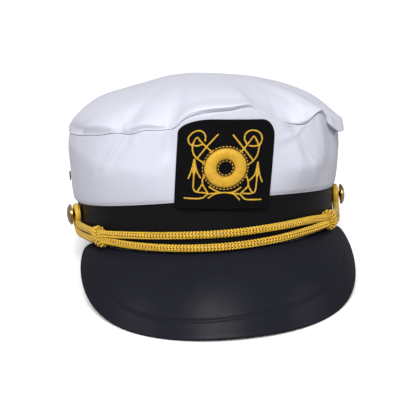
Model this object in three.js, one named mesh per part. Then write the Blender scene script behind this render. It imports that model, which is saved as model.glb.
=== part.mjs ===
// Sailor cap: a soft white satin crown on a black leatherette band, a moulded peak, a gold chin cord looped round two
// brass buttons, and a felt badge on the front. Millimetres, +Z up, the front of the cap towards -Y.
//
// The pieces are modelled on the upright cap, whose zero height is the band's lower edge. The last lines lean the cap
// back as it rests on a table: on the lower edge of its peak and on the back of its band.
import * as THREE from 'three';
import { ParametricGeometry } from 'three/addons/geometries/ParametricGeometry.js';
import { mergeVertices } from 'three/addons/utils/BufferGeometryUtils.js';

// Head band
const bandWidth = 175; // outside, ear to ear
const bandDepth = 195; // outside, front to back
const bandWall = 1.5;
const bandLap = 7; // how far the band runs up inside the crown
const bandSettle = 0.6; // how far the back of the band is pressed flat by the cap's weight

// Crown
const clothWall = 1.1; // satin on its backing
const hemFront = 32.2; // height of the crown's hem at the front
const hemSide = 24.7; // and at the sides and back
const hemPuff = 1.4; // how far the cloth bulges just over the hem
const seamHeight = 70; // height of the seam between the two panels at the sides
const seamRise = 18; // how far the stiff badge lifts the seam at the front
const crownFlare = 3.1; // how far the seam stands out past the hem
const crownLean = 2; // how far the soft crown slumps to one side
const apexHeight = 106;
const apexBack = 10; // how far the highest point lies behind the middle
const foldDepth = 2.5; // depth of a full fold

// Peak
const peakReach = 31.7; // plan distance from the band to the front edge
const peakDrop = 48.3; // height from the band's lower edge down to the front edge
const peakBulge = 4; // how far the slope is rounded out past a straight line
const peakSpread = 70; // degrees from the front to each end
const peakWall = 1.6;

// Chin cord, knots and buttons
const cordDiameter = 5;
const cordPitch = 5.4; // between the two strands where they lie side by side
const cordSeat = 0.8; // the cord lies loosely on the band
const knotWall = 1.6;
const knotLength = 8;
const knotPlay = 1; // room round the strands inside a knot
const buttonDiameter = 14;
const buttonDome = 3;
const shankDiameter = 4;

// Badge
const badgeWidth = 58;
const badgeHeight = 55.5;
const badgeWall = 1.5;
const badgeMiddle = 54.2; // height of its middle
const badgeTurn = -4.3; // degrees, as it was sewn on
const ringDiameter = 25;
const ringHole = 10;
const ringHeight = 2;
const ringMiddle = -2; // height over the middle of the badge

// Vent eyelets
const eyeletDiameter = 7;
const eyeletHole = 3.6;
const eyeletHeight = 1;
const eyeletAngle = 92; // degrees from the front
const eyeletShare = 0.36; // share of the side panel's height

const clearance = 0.3;

// The seam between the panels: how far it lies over its height at the sides, as a share of seamRise
const seamTable = [
  { angle: -180, rise: -0.2 },
  { angle: -130, rise: -0.12 },
  { angle: -90, rise: 0 },
  { angle: -70, rise: 0.08 },
  { angle: -54, rise: 0.18 },
  { angle: -45, rise: 0.27 },
  { angle: -39, rise: 0.23 },
  { angle: -32, rise: 0.37 },
  { angle: -20, rise: 0.42 },
  { angle: -15, rise: 0.74 },
  { angle: -8, rise: 0.9 },
  { angle: 2, rise: 0.94 },
  { angle: 11, rise: 1 },
  { angle: 15, rise: 0.74 },
  { angle: 21, rise: 0.48 },
  { angle: 29, rise: 0.28 },
  { angle: 36, rise: 0.2 },
  { angle: 42, rise: 0.44 },
  { angle: 47, rise: 0.5 },
  { angle: 53, rise: 0.2 },
  { angle: 60, rise: -0.02 },
  { angle: 90, rise: -0.08 },
  { angle: 130, rise: -0.15 },
  { angle: 180, rise: -0.2 },
];

// Creases in the side panel: each runs from its foot up to the seam. Depth is a share of foldDepth, width is in
// degrees, and from is the share of the panel's height where the crease starts
const sideFolds = [
  { top: -39, foot: -50, from: 0.4, width: 3.5, depth: 0.7 },
  { top: -22, foot: -23, from: 0.5, width: 2.5, depth: 0.6 },
  { top: 30, foot: 41, from: 0.3, width: 3.5, depth: 0.9 },
  { top: 56, foot: 58, from: 0.4, width: 6, depth: 0.7 },
  { top: 118, foot: 112, from: 0.3, width: 7, depth: 0.6 },
  { top: -128, foot: -120, from: 0.3, width: 7, depth: 0.7 },
  { top: 165, foot: 172, from: 0.4, width: 6, depth: 0.5 },
];

// Dents in the top panel, and puffs where depth is below zero. At and reach are shares of the way from the seam to
// the apex, width is in degrees and depth is a share of foldDepth
const topFolds = [
  { angle: -60, at: 0.06, width: 11, reach: 0.07, depth: 0.5 },
  { angle: -31, at: 0.06, width: 9, reach: 0.08, depth: 0.7 },
  { angle: -41, at: 0.1, width: 4, reach: 0.12, depth: -0.4 },
  { angle: 0, at: 0.12, width: 15, reach: 0.08, depth: -0.9 },
  { angle: 0, at: 0.32, width: 26, reach: 0.1, depth: 0.7 },
  { angle: 25, at: 0.12, width: 8, reach: 0.2, depth: 0.9 },
  { angle: 43, at: 0.16, width: 8, reach: 0.1, depth: -0.5 },
  { angle: 66, at: 0.09, width: 13, reach: 0.08, depth: -1.5 },
  { angle: 110, at: 0.3, width: 14, reach: 0.2, depth: 0.8 },
  { angle: -120, at: 0.25, width: 16, reach: 0.2, depth: 0.9 },
  { angle: 165, at: 0.2, width: 18, reach: 0.16, depth: 0.8 },
];

// Corners of the badge, as shares of its width and height
const badgeCorners = { leftAcross: 0.36, leftDown: 0.16, rightAcross: 0.15, rightDown: 0.2 };

// The cord's two strands from one knot to the other: height of each over the band's lower edge. Lift is 1 where the
// strands pass through a knot and 0 where they lie on the band
const frontRun = [
  { angle: -57, upper: 10.4, lower: 5, lift: 1 },
  { angle: -40, upper: 10.4, lower: 4, lift: 0 },
  { angle: -20, upper: 11.1, lower: 3, lift: 0 },
  { angle: 0, upper: 11, lower: 2.8, lift: 0 },
  { angle: 20, upper: 11.6, lower: 3.8, lift: 0 },
  { angle: 38, upper: 11.4, lower: 5, lift: 0 },
  { angle: 54, upper: 10.4, lower: 5, lift: 1 },
];

// The buttons sit so that the cord's turn over the shank just clears the crown's hem
const turnRadius = shankDiameter / 2 + 2 * clearance + cordDiameter / 2;
const shankHeight = hemSide - clearance - cordDiameter / 2 - turnRadius;

// The middle of the two strands from each knot back to its button. The last row is the button's shank
const leftRun = [
  { angle: -63, height: 7.7, lift: 0.75 },
  { angle: -71, height: 7.6, lift: 0.15 },
  { angle: -78.5, height: 7.8, lift: 0 },
  { angle: -81.6, height: 10.6, lift: 0 },
  { angle: -82, height: shankHeight, lift: 0 },
];
const rightRun = [
  { angle: 60, height: 7.1, lift: 0.75 },
  { angle: 69.5, height: 5.9, lift: 0.15 },
  { angle: 78, height: 6.8, lift: 0 },
  { angle: 81.6, height: 10.2, lift: 0 },
  { angle: 82, height: shankHeight, lift: 0 },
];

const radians = THREE.MathUtils.degToRad;
const lerp = THREE.MathUtils.lerp;
const smoothstep = THREE.MathUtils.smoothstep;
const halfWidth = bandWidth / 2;
const halfDepth = bandDepth / 2;
const cordRadius = cordDiameter / 2;
const shankRadius = shankDiameter / 2;
const domeSpread = 0.93; // power of the dome's width, 1 for a true ellipse
const domeRise = 1.1; // power of its rise
const frontRise = 0.42; // share of seamRise that the dome's even rim has at the front
const rearRise = -0.2; // and at the back
const rimFade = 4; // power with which the seam's rises die away towards the apex

// Sideways direction away from the band, at an angle from the front towards +X
function outward(angle) {
  return new THREE.Vector3(Math.sin(angle) / halfWidth, -Math.cos(angle) / halfDepth, 0).normalize();
}

// A point beside the band: its angle, its distance out from the band's outside and its height
function beside(angle, out, height) {
  const foot = new THREE.Vector3(halfWidth * Math.sin(angle), -halfDepth * Math.cos(angle), height);
  return foot.addScaledVector(outward(angle), out);
}

// Length of the band's outside for each radian, at an angle
function arcPerRadian(angle) {
  return Math.hypot(halfWidth * Math.cos(angle), halfDepth * Math.sin(angle));
}

// A column of a table at an angle, smooth between the rows
function tableValue(rows, angle, column) {
  const degrees = THREE.MathUtils.radToDeg(angle);
  const last = rows.length - 2;
  const next = rows.findIndex((row) => row.angle > degrees);
  const i = next < 0 ? last : THREE.MathUtils.clamp(next - 1, 0, last);
  const slope = (k) => {
    const before = rows[Math.max(k - 1, 0)];
    const after = rows[Math.min(k + 1, rows.length - 1)];
    return (after[column] - before[column]) / (after.angle - before.angle);
  };
  const span = rows[i + 1].angle - rows[i].angle;
  const t = (degrees - rows[i].angle) / span;
  const rise = rows[i + 1][column] - rows[i][column];
  const ease = t * t * (3 - 2 * t);
  const leave = t * (1 - t) * (1 - t) * slope(i) * span;
  const arrive = t * t * (t - 1) * slope(i + 1) * span;
  return rows[i][column] + rise * ease + leave + arrive;
}

// A smooth hump of height 1
function hump(distance, width) {
  return Math.exp(-((distance / width) ** 2));
}

function degreesApart(angle, degrees) {
  const apart = THREE.MathUtils.radToDeg(angle) - degrees;
  return THREE.MathUtils.euclideanModulo(apart + 180, 360) - 180;
}

function hemHeight(angle) {
  return hemSide + (hemFront - hemSide) * Math.max(Math.cos(angle), 0) ** 2;
}

function seamLine(angle) {
  return seamHeight + seamRise * tableValue(seamTable, angle, 'rise');
}

// Distance of the side panel's outside from the band, before its creases
function sideOut(share, puffShare) {
  const puff = hemPuff * Math.sin(Math.PI * Math.sqrt(puffShare));
  return clearance + clothWall + crownFlare * share + puff;
}

// The side panel from its hem, share 0, to its seam, share 1
function sideSheet(angle, share, inset) {
  let out = sideOut(share, share) - inset;
  for (const fold of sideFolds) {
    const along = (share - fold.from) / (1 - fold.from);
    const middle = lerp(fold.foot, fold.top, along);
    const strength = smoothstep(share, fold.from, (1 + fold.from) / 2);
    out -= foldDepth * fold.depth * strength * hump(degreesApart(angle, middle), fold.width);
  }
  const point = beside(angle, out, lerp(hemHeight(angle), seamLine(angle), share));
  point.x += crownLean * share;
  return point;
}

// The top panel from its seam, share 0, to the apex, share 1: a plain dome over an even rim, which takes up the real
// seam's rises and dents less and less towards the apex
function topSheet(angle, share, inset) {
  const turn = (share * Math.PI) / 2;
  const rim = sideSheet(angle, 1, 0);
  const evenRim = beside(angle, sideOut(1, 1), seamHeight + seamRise * lerp(rearRise, frontRise, (1 + Math.cos(angle)) / 2));
  evenRim.x += crownLean;
  const apex = new THREE.Vector3(crownLean, apexBack, apexHeight);
  const spread = Math.cos(turn) ** domeSpread;
  const rise = Math.sin(turn) ** domeRise;
  let push = -inset;
  for (const fold of topFolds) {
    const across = hump(degreesApart(angle, fold.angle), fold.width);
    const along = hump(share - fold.at, fold.reach) * smoothstep(share, 0, fold.at / 2) * (1 - share);
    push -= foldDepth * fold.depth * across * along;
  }
  const point = new THREE.Vector3();
  point.x = lerp(apex.x, evenRim.x, spread);
  point.y = lerp(apex.y, evenRim.y, spread);
  point.z = lerp(evenRim.z, apex.z, rise);
  point.addScaledVector(rim.sub(evenRim), (1 - share) ** rimFade * (1 + rimFade * share));
  point.addScaledVector(outward(angle), push * Math.cos(turn));
  point.z += push * Math.sin(turn) + clearance;
  return point;
}

// How much of its full reach and drop the peak has at a share of the way from the front to its end
function peakShape(share) {
  return { reach: (1 - share ** 2.43) ** 0.555, drop: 1 - share ** 3.4 };
}

// Cross-section of the peak's upper face: distance out and height, from the band at 0 to the edge at 1
function peakSection(end, share) {
  const shape = peakShape(end);
  const reach = peakReach * shape.reach;
  const drop = peakDrop * shape.drop;
  const size = Math.hypot(reach, drop);
  const bulge = (peakBulge * size * 4 * share * (1 - share)) / Math.hypot(peakReach, peakDrop);
  const out = reach * share + (bulge * drop) / size;
  return new THREE.Vector2(out, -clearance - drop * share + (bulge * reach) / size);
}

// The peak's face at a place between its two ends, -1 to 1, moved down into the wall by inset
function peakSheet(place, share, inset) {
  const angle = radians(peakSpread) * place;
  const end = Math.abs(place);
  const step = 0.01;
  const from = peakSection(end, Math.max(share - step, 0));
  const to = peakSection(end, Math.min(share + step, 1));
  const slope = to.sub(from).normalize();
  const point = peakSection(end, share);
  return beside(angle, point.x + slope.y * inset, point.y - slope.x * inset);
}

// The part of the peak that is sewn under the band
function peakFlange(place, inset) {
  return beside(radians(peakSpread) * place, -bandWall, -clearance - inset);
}

const peakEnd = 0.985; // the peak stops short of a sharp point at each end
const peakShares = [0, 0.16, 0.34, 0.52, 0.7, 0.86, 1];

// How far the cap leans back until the lowest point of the peak stands on the same surface as the back of the band
function restingTilt() {
  let tilt = 0;
  for (let place = 0; place < peakEnd; place += 0.02) {
    for (const inset of [0, peakWall]) {
      const edge = peakSheet(place, 1, inset);
      const away = halfDepth - edge.y;
      const distance = Math.hypot(away, edge.z);
      tilt = Math.max(tilt, Math.atan2(-edge.z, away) + Math.asin(bandSettle / distance));
    }
  }
  return tilt;
}

const tilt = restingTilt();

// Height at which the surface under the leaning cap passes a place on the upright cap
function surfaceHeight(y) {
  return (bandSettle - (halfDepth - y) * Math.sin(tilt)) / Math.cos(tilt);
}

// Closes a surface into a solid: equal points become one, faces with no area go, and the outside faces out
function solidGeometry(geometry) {
  const bare = geometry.clone();
  bare.deleteAttribute('normal');
  bare.deleteAttribute('uv');
  const merged = mergeVertices(bare, 1e-3);
  const position = merged.getAttribute('position');
  const corner = [new THREE.Vector3(), new THREE.Vector3(), new THREE.Vector3()];
  const kept = [];
  let volume = 0;
  for (let i = 0; i < merged.index.count; i += 3) {
    const face = [0, 1, 2].map((k) => merged.index.getX(i + k));
    if (new Set(face).size < 3) continue;
    face.forEach((vertex, k) => corner[k].fromBufferAttribute(position, vertex));
    volume += corner[0].dot(corner[1].clone().cross(corner[2]));
    kept.push(face);
  }
  merged.setIndex(kept.flatMap(([a, b, c]) => (volume > 0 ? [a, b, c] : [a, c, b])));
  merged.computeVertexNormals();
  return merged;
}

// A solid ring whose section is a closed loop of points, each a function of the angle round the ring
function ringSolid(section, slices, angleAt) {
  const place = (u, v, target) => {
    const row = Math.round(v * section.length) % section.length;
    target.copy(section[row](angleAt(u)));
  };
  return solidGeometry(new ParametricGeometry(place, slices, section.length));
}

// A solid dome whose section runs from its underside on the axis to its top on the axis
function domeSolid(section, slices, angleAt) {
  const place = (u, v, target) => {
    target.copy(section[Math.round(v * (section.length - 1))](angleAt(u)));
  };
  return solidGeometry(new ParametricGeometry(place, slices, section.length - 1));
}

// A solid plate between two faces, each a function of a place along it. The rows of both faces match, and the ends
// are closed on the line midway between the faces
function plateSolid(upper, lower, columns) {
  const rows = upper.length;
  const section = [...upper, ...[...lower].reverse()];
  const place = (u, v, target) => {
    const column = Math.round(u * (columns.length + 1)) - 1;
    const at = columns[THREE.MathUtils.clamp(column, 0, columns.length - 1)];
    const row = Math.round(v * section.length) % section.length;
    const point = section[row](at);
    if (column < 0 || column >= columns.length) {
      point.lerp(section[2 * rows - 1 - row](at), 0.5);
    }
    target.copy(point);
  };
  return solidGeometry(new ParametricGeometry(place, columns.length + 1, section.length));
}

// Angles round the cap, closer together at the front where the folds are
const crownSlices = 84;
const frontCrowding = 0.35;
function angleRound(u) {
  const even = 2 * Math.PI * (u - 0.5);
  return even - frontCrowding * Math.sin(even);
}

function evenAngle(u) {
  return 2 * Math.PI * u;
}

function crownSide() {
  const outer = [0, 0.04, 0.14, 0.32, 0.5, 0.68, 0.85, 1];
  const inner = [0, 0.14, 0.32, 0.5, 0.68, 0.85, 1].reverse();
  const section = [
    ...outer.map((share) => (angle) => sideSheet(angle, share, 0)),
    ...inner.map((share) => (angle) => sideSheet(angle, share, clothWall)),
  ];
  return ringSolid(section, crownSlices, angleRound);
}

function crownTop() {
  const shares = [0, 0.04, 0.1, 0.18, 0.27, 0.38, 0.51, 0.66, 0.82, 1];
  const section = [
    ...[...shares].reverse().map((share) => (angle) => topSheet(angle, share, clothWall)),
    ...shares.map((share) => (angle) => topSheet(angle, share, 0)),
  ];
  return domeSolid(section, crownSlices, angleRound);
}

function headBand() {
  const lower = (out) => (angle) => {
    const point = beside(angle, out, 0);
    point.z = Math.max(point.z, surfaceHeight(point.y));
    return point;
  };
  const upper = (out) => (angle) => beside(angle, out, hemHeight(angle) + bandLap);
  return ringSolid([lower(0), upper(0), upper(-bandWall), lower(-bandWall)], crownSlices, angleRound);
}

function peakPlate() {
  const slices = 40;
  const columns = Array.from({ length: slices + 1 }, (_, i) => peakEnd * Math.sin((i / slices - 0.5) * Math.PI));
  const face = (inset) => [
    (place) => peakFlange(place, inset),
    ...peakShares.map((share) => (place) => peakSheet(place, share, inset)),
  ];
  return plateSolid(face(0), face(peakWall), columns);
}

// Distance from the band to the cord's middle, where it lies on the band and where it passes through a knot
function cordOut(lift) {
  return lerp(cordSeat + cordRadius, clearance + knotWall + knotPlay + cordRadius, lift);
}

// A point of the cord, from its angle in degrees, its height and its lift
function cordPoint(angle, height, lift) {
  return beside(radians(angle), cordOut(lift), height);
}

// The two strands between a knot and its button, and the turn over the button's shank
function buttonLoop(run, knot) {
  const shank = run[run.length - 1];
  const side = Math.sign(shank.angle);
  const arc = radians(1) * arcPerRadian(radians(shank.angle));
  const strand = (sign) => run.slice(0, -1).map((row, i) => {
    const before = i > 0 ? run[i - 1] : knot;
    const after = run[i + 1];
    const along = new THREE.Vector2((after.angle - before.angle) * arc, after.height - before.height).normalize();
    const across = (sign * side * cordPitch) / 2;
    return cordPoint(row.angle - (along.y * across) / arc, row.height + along.x * across, row.lift);
  });
  const turn = [0, 45, 90, 135, 180].map((degrees) => {
    const turned = radians(degrees);
    const across = side * turnRadius * Math.cos(turned);
    return cordPoint(shank.angle - across / arc, shank.height + turnRadius * Math.sin(turned), shank.lift);
  });
  return [...strand(1), ...turn, ...strand(-1).reverse()];
}

// A curve that spends as many steps between any two of its points
class EvenCurve extends THREE.CatmullRomCurve3 {
  getPointAt(u, target) {
    return this.getPoint(u, target);
  }

  getTangentAt(u, target) {
    return this.getTangent(u, target);
  }
}

const knotRows = { left: frontRun[0], right: frontRun[frontRun.length - 1] };
const middleHeight = (row) => (row.upper + row.lower) / 2;

function chinCord() {
  const upper = frontRun.map((row) => cordPoint(row.angle, row.upper, row.lift));
  const lower = frontRun.map((row) => cordPoint(row.angle, row.lower, row.lift));
  const knot = (row) => ({ angle: row.angle, height: middleHeight(row) });
  const right = buttonLoop(rightRun, knot(knotRows.right));
  const left = buttonLoop(leftRun, knot(knotRows.left));
  const route = new EvenCurve([...upper, ...right, ...lower.reverse(), ...left.reverse()], true);
  const sides = 8;
  return solidGeometry(new THREE.TubeGeometry(route, 2 * route.points.length, cordRadius, sides, true));
}

// A knot round the two strands: an oval sleeve with rounded ends
function knotSleeve(row) {
  const angle = radians(row.angle);
  const middle = beside(angle, cordOut(1), middleHeight(row));
  const out = outward(angle);
  const across = new THREE.Vector3(0, 0, 1);
  const along = new THREE.Vector3().crossVectors(across, out);
  const ringPoint = (grow, share) => (turn) => {
    const wide = (cordPitch / 2) * Math.sign(Math.cos(turn)) * Math.min(1, Math.abs(Math.cos(turn)) * 3);
    const radius = cordRadius + knotPlay + grow;
    return middle.clone()
      .addScaledVector(across, wide + radius * Math.cos(turn))
      .addScaledVector(out, radius * Math.sin(turn))
      .addScaledVector(along, share * knotLength);
  };
  const section = [
    ringPoint(0, 0.5),
    ringPoint(0, -0.5),
    ringPoint(knotWall * 0.6, -0.5),
    ringPoint(knotWall, -0.25),
    ringPoint(knotWall, 0.25),
    ringPoint(knotWall * 0.6, 0.5),
  ];
  return ringSolid(section, 20, evenAngle);
}

// A domed button on its shank, turned about its own axis
function domedButton() {
  const back = cordSeat + cordDiameter + clearance;
  const radius = buttonDiameter / 2;
  const profile = [
    [0, clearance],
    [shankRadius, clearance],
    [shankRadius, back],
    [radius * 0.92, back],
    [radius, back + buttonDome * 0.25],
    [radius * 0.84, back + buttonDome * 0.65],
    [radius * 0.48, back + buttonDome * 0.93],
    [0, back + buttonDome],
  ];
  return new THREE.LatheGeometry(profile.map(([x, y]) => new THREE.Vector2(x, y)), 18);
}

function eyeletRing() {
  const inner = eyeletHole / 2;
  const outer = eyeletDiameter / 2;
  const profile = [
    [outer, clearance],
    [lerp(outer, inner, 0.35), clearance + eyeletHeight],
    [lerp(outer, inner, 0.7), clearance + eyeletHeight],
    [inner, clearance],
    [outer, clearance],
  ];
  return new THREE.LatheGeometry(profile.map(([x, y]) => new THREE.Vector2(x, y)), 16);
}

// A point on the badge: across and up from its middle, standing off its back face
function badgePoint(across, up, standOff) {
  const turn = radians(badgeTurn);
  const x = across * Math.cos(turn) - up * Math.sin(turn);
  const height = badgeMiddle + across * Math.sin(turn) + up * Math.cos(turn);
  const angle = x / halfWidth;
  const share = Math.max((height - hemHeight(angle)) / (seamLine(angle) - hemHeight(angle)), 0);
  const fullPuff = 0.25; // the share at which the panel bulges most; the stiff badge spans the tuck below it
  const out = sideOut(share, Math.max(share, fullPuff)) + clearance + standOff;
  const point = beside(angle, out, height);
  point.x += crownLean * share;
  return point;
}

// Height of the badge's top edge over its middle, with its two rounded corners
function badgeTop(across) {
  const left = across < 0;
  const cornerAcross = badgeWidth * (left ? badgeCorners.leftAcross : badgeCorners.rightAcross);
  const cornerDown = badgeHeight * (left ? badgeCorners.leftDown : badgeCorners.rightDown);
  const past = THREE.MathUtils.clamp((Math.abs(across) - badgeWidth / 2) / cornerAcross + 1, 0, 1);
  return badgeHeight / 2 - cornerDown * (1 - Math.sqrt(1 - past * past));
}

function badgePatch() {
  const slices = 16;
  const rows = 8;
  const columns = Array.from({ length: slices + 1 }, (_, i) => Math.sin((i / slices - 0.5) * Math.PI) * (badgeWidth / 2));
  const face = (standOff) => Array.from({ length: rows + 1 }, (_, i) => (across) => {
    const up = lerp(-badgeHeight / 2, badgeTop(across), i / rows);
    return badgePoint(across, up, standOff);
  });
  return plateSolid(face(badgeWall), face(0), columns);
}

function badgeRing() {
  const inner = ringHole / 2;
  const outer = ringDiameter / 2;
  const foot = badgeWall + clearance;
  const ringPoint = (share, height) => (turn) => {
    const radius = lerp(inner, outer, share);
    return badgePoint(radius * Math.cos(turn), ringMiddle + radius * Math.sin(turn), foot + height * ringHeight);
  };
  const section = [
    ringPoint(0, 0),
    ringPoint(0.08, 0.6),
    ringPoint(0.35, 1),
    ringPoint(0.65, 1),
    ringPoint(0.92, 0.6),
    ringPoint(1, 0),
  ];
  return ringSolid(section, 24, evenAngle);
}

// Materials
function finish(color, roughness, metalness) {
  return new THREE.MeshStandardMaterial({ color, roughness, metalness });
}

const satin = () => finish(0xe2e2ee, 0.45, 0);
const leatherette = () => finish(0x1b1b20, 0.4, 0);
const mouldedPlastic = () => finish(0x1d1e25, 0.35, 0);
const goldCord = () => finish(0xe6b826, 0.6, 0);
const brass = () => finish(0xb79a63, 0.3, 1);
const felt = () => finish(0x151518, 0.95, 0);
const goldThread = () => finish(0xe0ac22, 0.5, 0);

const cap = new THREE.Group();

function addPiece(name, geometry, material) {
  const piece = new THREE.Mesh(geometry, material);
  piece.name = name;
  cap.add(piece);
  return piece;
}

// Stands a piece that was turned about Y on a surface point, with its axis along the surface's normal
function standOn(piece, point, normal) {
  piece.position.copy(point);
  piece.quaternion.setFromUnitVectors(new THREE.Vector3(0, 1, 0), normal);
}

addPiece('crown_side', crownSide(), satin());
addPiece('crown_top', crownTop(), satin());
addPiece('band', headBand(), leatherette());
addPiece('peak', peakPlate(), mouldedPlastic());
addPiece('chin_cord', chinCord(), goldCord());
addPiece('knot_left', knotSleeve(knotRows.left), goldCord());
addPiece('knot_right', knotSleeve(knotRows.right), goldCord());
addPiece('badge_patch', badgePatch(), felt());
addPiece('badge_ring', badgeRing(), goldThread());

for (const [name, run] of [['button_left', leftRun], ['button_right', rightRun]]) {
  const shank = run[run.length - 1];
  const angle = radians(shank.angle);
  standOn(addPiece(name, domedButton(), brass()), beside(angle, 0, shank.height), outward(angle));
}

for (const [name, side] of [['eyelet_left', -1], ['eyelet_right', 1]]) {
  const angle = side * radians(eyeletAngle);
  const step = 0.02;
  const round = sideSheet(angle + step, eyeletShare, 0).sub(sideSheet(angle - step, eyeletShare, 0));
  const up = sideSheet(angle, eyeletShare + step, 0).sub(sideSheet(angle, eyeletShare - step, 0));
  const normal = round.cross(up).normalize();
  standOn(addPiece(name, eyeletRing(), brass()), sideSheet(angle, eyeletShare, 0), normal);
}

// Lay the cap down: turn it about the lower back edge of its band, press that edge flat, and centre it
cap.rotation.x = -tilt;
cap.position.set(0, halfDepth - halfDepth * Math.cos(tilt), halfDepth * Math.sin(tilt) - bandSettle);
cap.updateMatrixWorld(true);
const extent = new THREE.Box3().setFromObject(cap, true);
cap.position.x -= (extent.min.x + extent.max.x) / 2;
cap.position.y -= (extent.min.y + extent.max.y) / 2;

export default cap;
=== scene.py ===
import math

import bmesh
import bpy
import numpy as np
from mathutils import Matrix, Vector, noise


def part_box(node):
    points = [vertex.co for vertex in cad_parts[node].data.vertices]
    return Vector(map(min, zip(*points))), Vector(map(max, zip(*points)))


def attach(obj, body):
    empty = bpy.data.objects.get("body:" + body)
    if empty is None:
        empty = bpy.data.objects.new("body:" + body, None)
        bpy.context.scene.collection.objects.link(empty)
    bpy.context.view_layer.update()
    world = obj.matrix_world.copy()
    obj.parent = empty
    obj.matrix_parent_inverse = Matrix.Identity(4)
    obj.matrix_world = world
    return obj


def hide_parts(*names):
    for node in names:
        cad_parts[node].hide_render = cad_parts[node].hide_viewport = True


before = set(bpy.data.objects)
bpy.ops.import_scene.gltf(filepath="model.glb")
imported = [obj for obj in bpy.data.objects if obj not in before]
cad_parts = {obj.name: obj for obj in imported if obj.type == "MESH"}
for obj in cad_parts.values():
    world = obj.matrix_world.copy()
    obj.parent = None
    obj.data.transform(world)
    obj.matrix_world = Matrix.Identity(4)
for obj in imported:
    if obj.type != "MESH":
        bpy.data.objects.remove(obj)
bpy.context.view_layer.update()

bl_info = {
    "name": "Sailor cap",
    "version": (1, 0, 0),
    "blender": (4, 5, 0),
    "location": "3D View > Sidebar > Sailor Cap",
    "description": "Builds a sailor cap: satin crown, leatherette band, moulded peak, gold cord, badge",
    "category": "Add Mesh",
}

# The cap's own sizes, in millimetres on the upright cap: zero height is the band's lower edge, angle 0 is the
# front and angles grow towards +X
MM = 1000.0  # millimetres in a metre
BAND_WIDTH = 175.0
BAND_DEPTH = 195.0
BAND_WALL = 1.5
BAND_LAP = 7.0
BAND_SETTLE = 0.6
CLOTH_WALL = 1.1
HEM_FRONT = 32.2
HEM_SIDE = 24.7
HEM_PUFF = 1.4
SEAM_HEIGHT = 70.0
SEAM_RISE = 18.0
CROWN_FLARE = 3.1
CROWN_LEAN = 2.0
APEX_HEIGHT = 106.0
APEX_BACK = 10.0
PEAK_REACH = 31.7
PEAK_DROP = 48.3
PEAK_BULGE = 4.0
PEAK_SPREAD = math.radians(70)
PEAK_WALL = 1.6
PEAK_END = 0.985
PEAK_COLUMNS = 240
PEAK_ROUND = (2.43, 0.555)  # powers that round the peak's edge seen from above, and from the front
DROP_ROUND = 3.4
CORD_RADIUS = 2.5
CORD_PITCH = 5.4
CORD_SEAT = 0.8
KNOT_WALL = 1.6
KNOT_PLAY = 1.0
KNIT_RADIUS = 0.93 * CORD_RADIUS  # thinner than the plain cord, so that the loops stand out to its face
KNIT_COLUMNS = 5  # columns of stitches round the cord
KNIT_TWIST = 0.011  # turn of the columns in radians to the millimetre, as for the others below
CORE_RADIUS = 1.8
CORE_PITCH = 2.5
RIB_COUNT = 6
RIB_RADIUS = 0.84
RIB_RING = (1.15, 1.6)  # how far the ribs' middles lie outwards and sideways from the cord's middle
RIB_TWIST = 0.035
RIB_PITCH = 1.6
KNOT_YARN = 1.75  # radius of the thinner cord wound round each knot
KNOT_PITCH = 1.9
KNOT_COLUMNS = 4
KNOT_TWIST = 0.05
KNOT_CORE = 1.3
KNOT_TURNS = 2.15
SHANK_RADIUS = 2.0
BUTTON_RADIUS = 7.0
BUTTON_DOME = 3.0
BADGE_WIDTH = 58.0
BADGE_HEIGHT = 55.5
BADGE_WALL = 1.5
BADGE_MIDDLE = 54.2
BADGE_TURN = math.radians(-4.3)
BADGE_CORNER = 2.0
RIGHT_SHOULDER = (0.15, 0.2)  # how far the upper right corner's curve runs, as shares of the width and height
LEFT_SHOULDER = (0.36, 0.16)
RING_RADIUS = 12.5
RING_HOLE = 5.0
RING_HEIGHT = 2.0
RING_MIDDLE = -2.0
EYELET_RADIUS = 3.5
EYELET_HOLE = 1.8
EYELET_ANGLE = 92.0
EYELET_SHARE = 0.36
CLEARANCE = 0.3
HALF_WIDTH = BAND_WIDTH / 2
HALF_DEPTH = BAND_DEPTH / 2
MEAN_RADIUS = 92.0  # of the crown, used to turn angles to lengths
DOME_SLOPE = 95.0  # length of the dome's slope from the seam to its highest point
DOME_SPREAD = 0.93  # powers that round the dome across and up
DOME_RISE = 1.1
EVEN_SEAM = (-0.2, 0.42)  # rise of a seam without waves at the back and the front, as shares of SEAM_RISE
SEAM_OPEN = 0.1  # angle at which each panel's turned edge begins at the seam
INNER_SHARES = (0.9, 0.8, 0.7, 0.6, 0.5, 0.4, 0.3, 0.2, 0.12, 0.06)  # rows on the inside of a panel
MAP_UNIT = 100.0  # millimetres in one unit of a lengths map
FULL_BREAK = 0.0026  # metres of the setting at which the side panel breaks as far out as its table says
CROWN_COLUMNS = 600  # points round each panel of the crown
BAND_COLUMNS = 420
GROOVE_WIDTH = 0.85
BAND_WAVE = 0.18  # how far the head band's surface waves
BAND_WAVE_SIZE = 30.0
RIM_HEIGHT = 0.18  # of the low rim inside the peak's edge
LIP_BULGE = 0.35
FACE_STEPS = 78  # points down the peak's upper face
LIP_STEPS = 5
UNDER_STEPS = 20
TURN_RADIUS = SHANK_RADIUS + 2 * CLEARANCE + CORD_RADIUS
SHANK_HEIGHT = HEM_SIDE - CLEARANCE - CORD_RADIUS - TURN_RADIUS

# The stage, in metres and degrees: the camera's azimuth, elevation and roll
FLOOR_WIDTH = 3.0
LAMP_AIM = Vector((0.0, 0.0, 0.05))
CAMERA_TURNS = (-8.034, 21.834, -1.393)
CAMERA_AIM = Vector((0.000083, 0.0, 0.038068))
CAMERA_DISTANCE = 0.9

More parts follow.
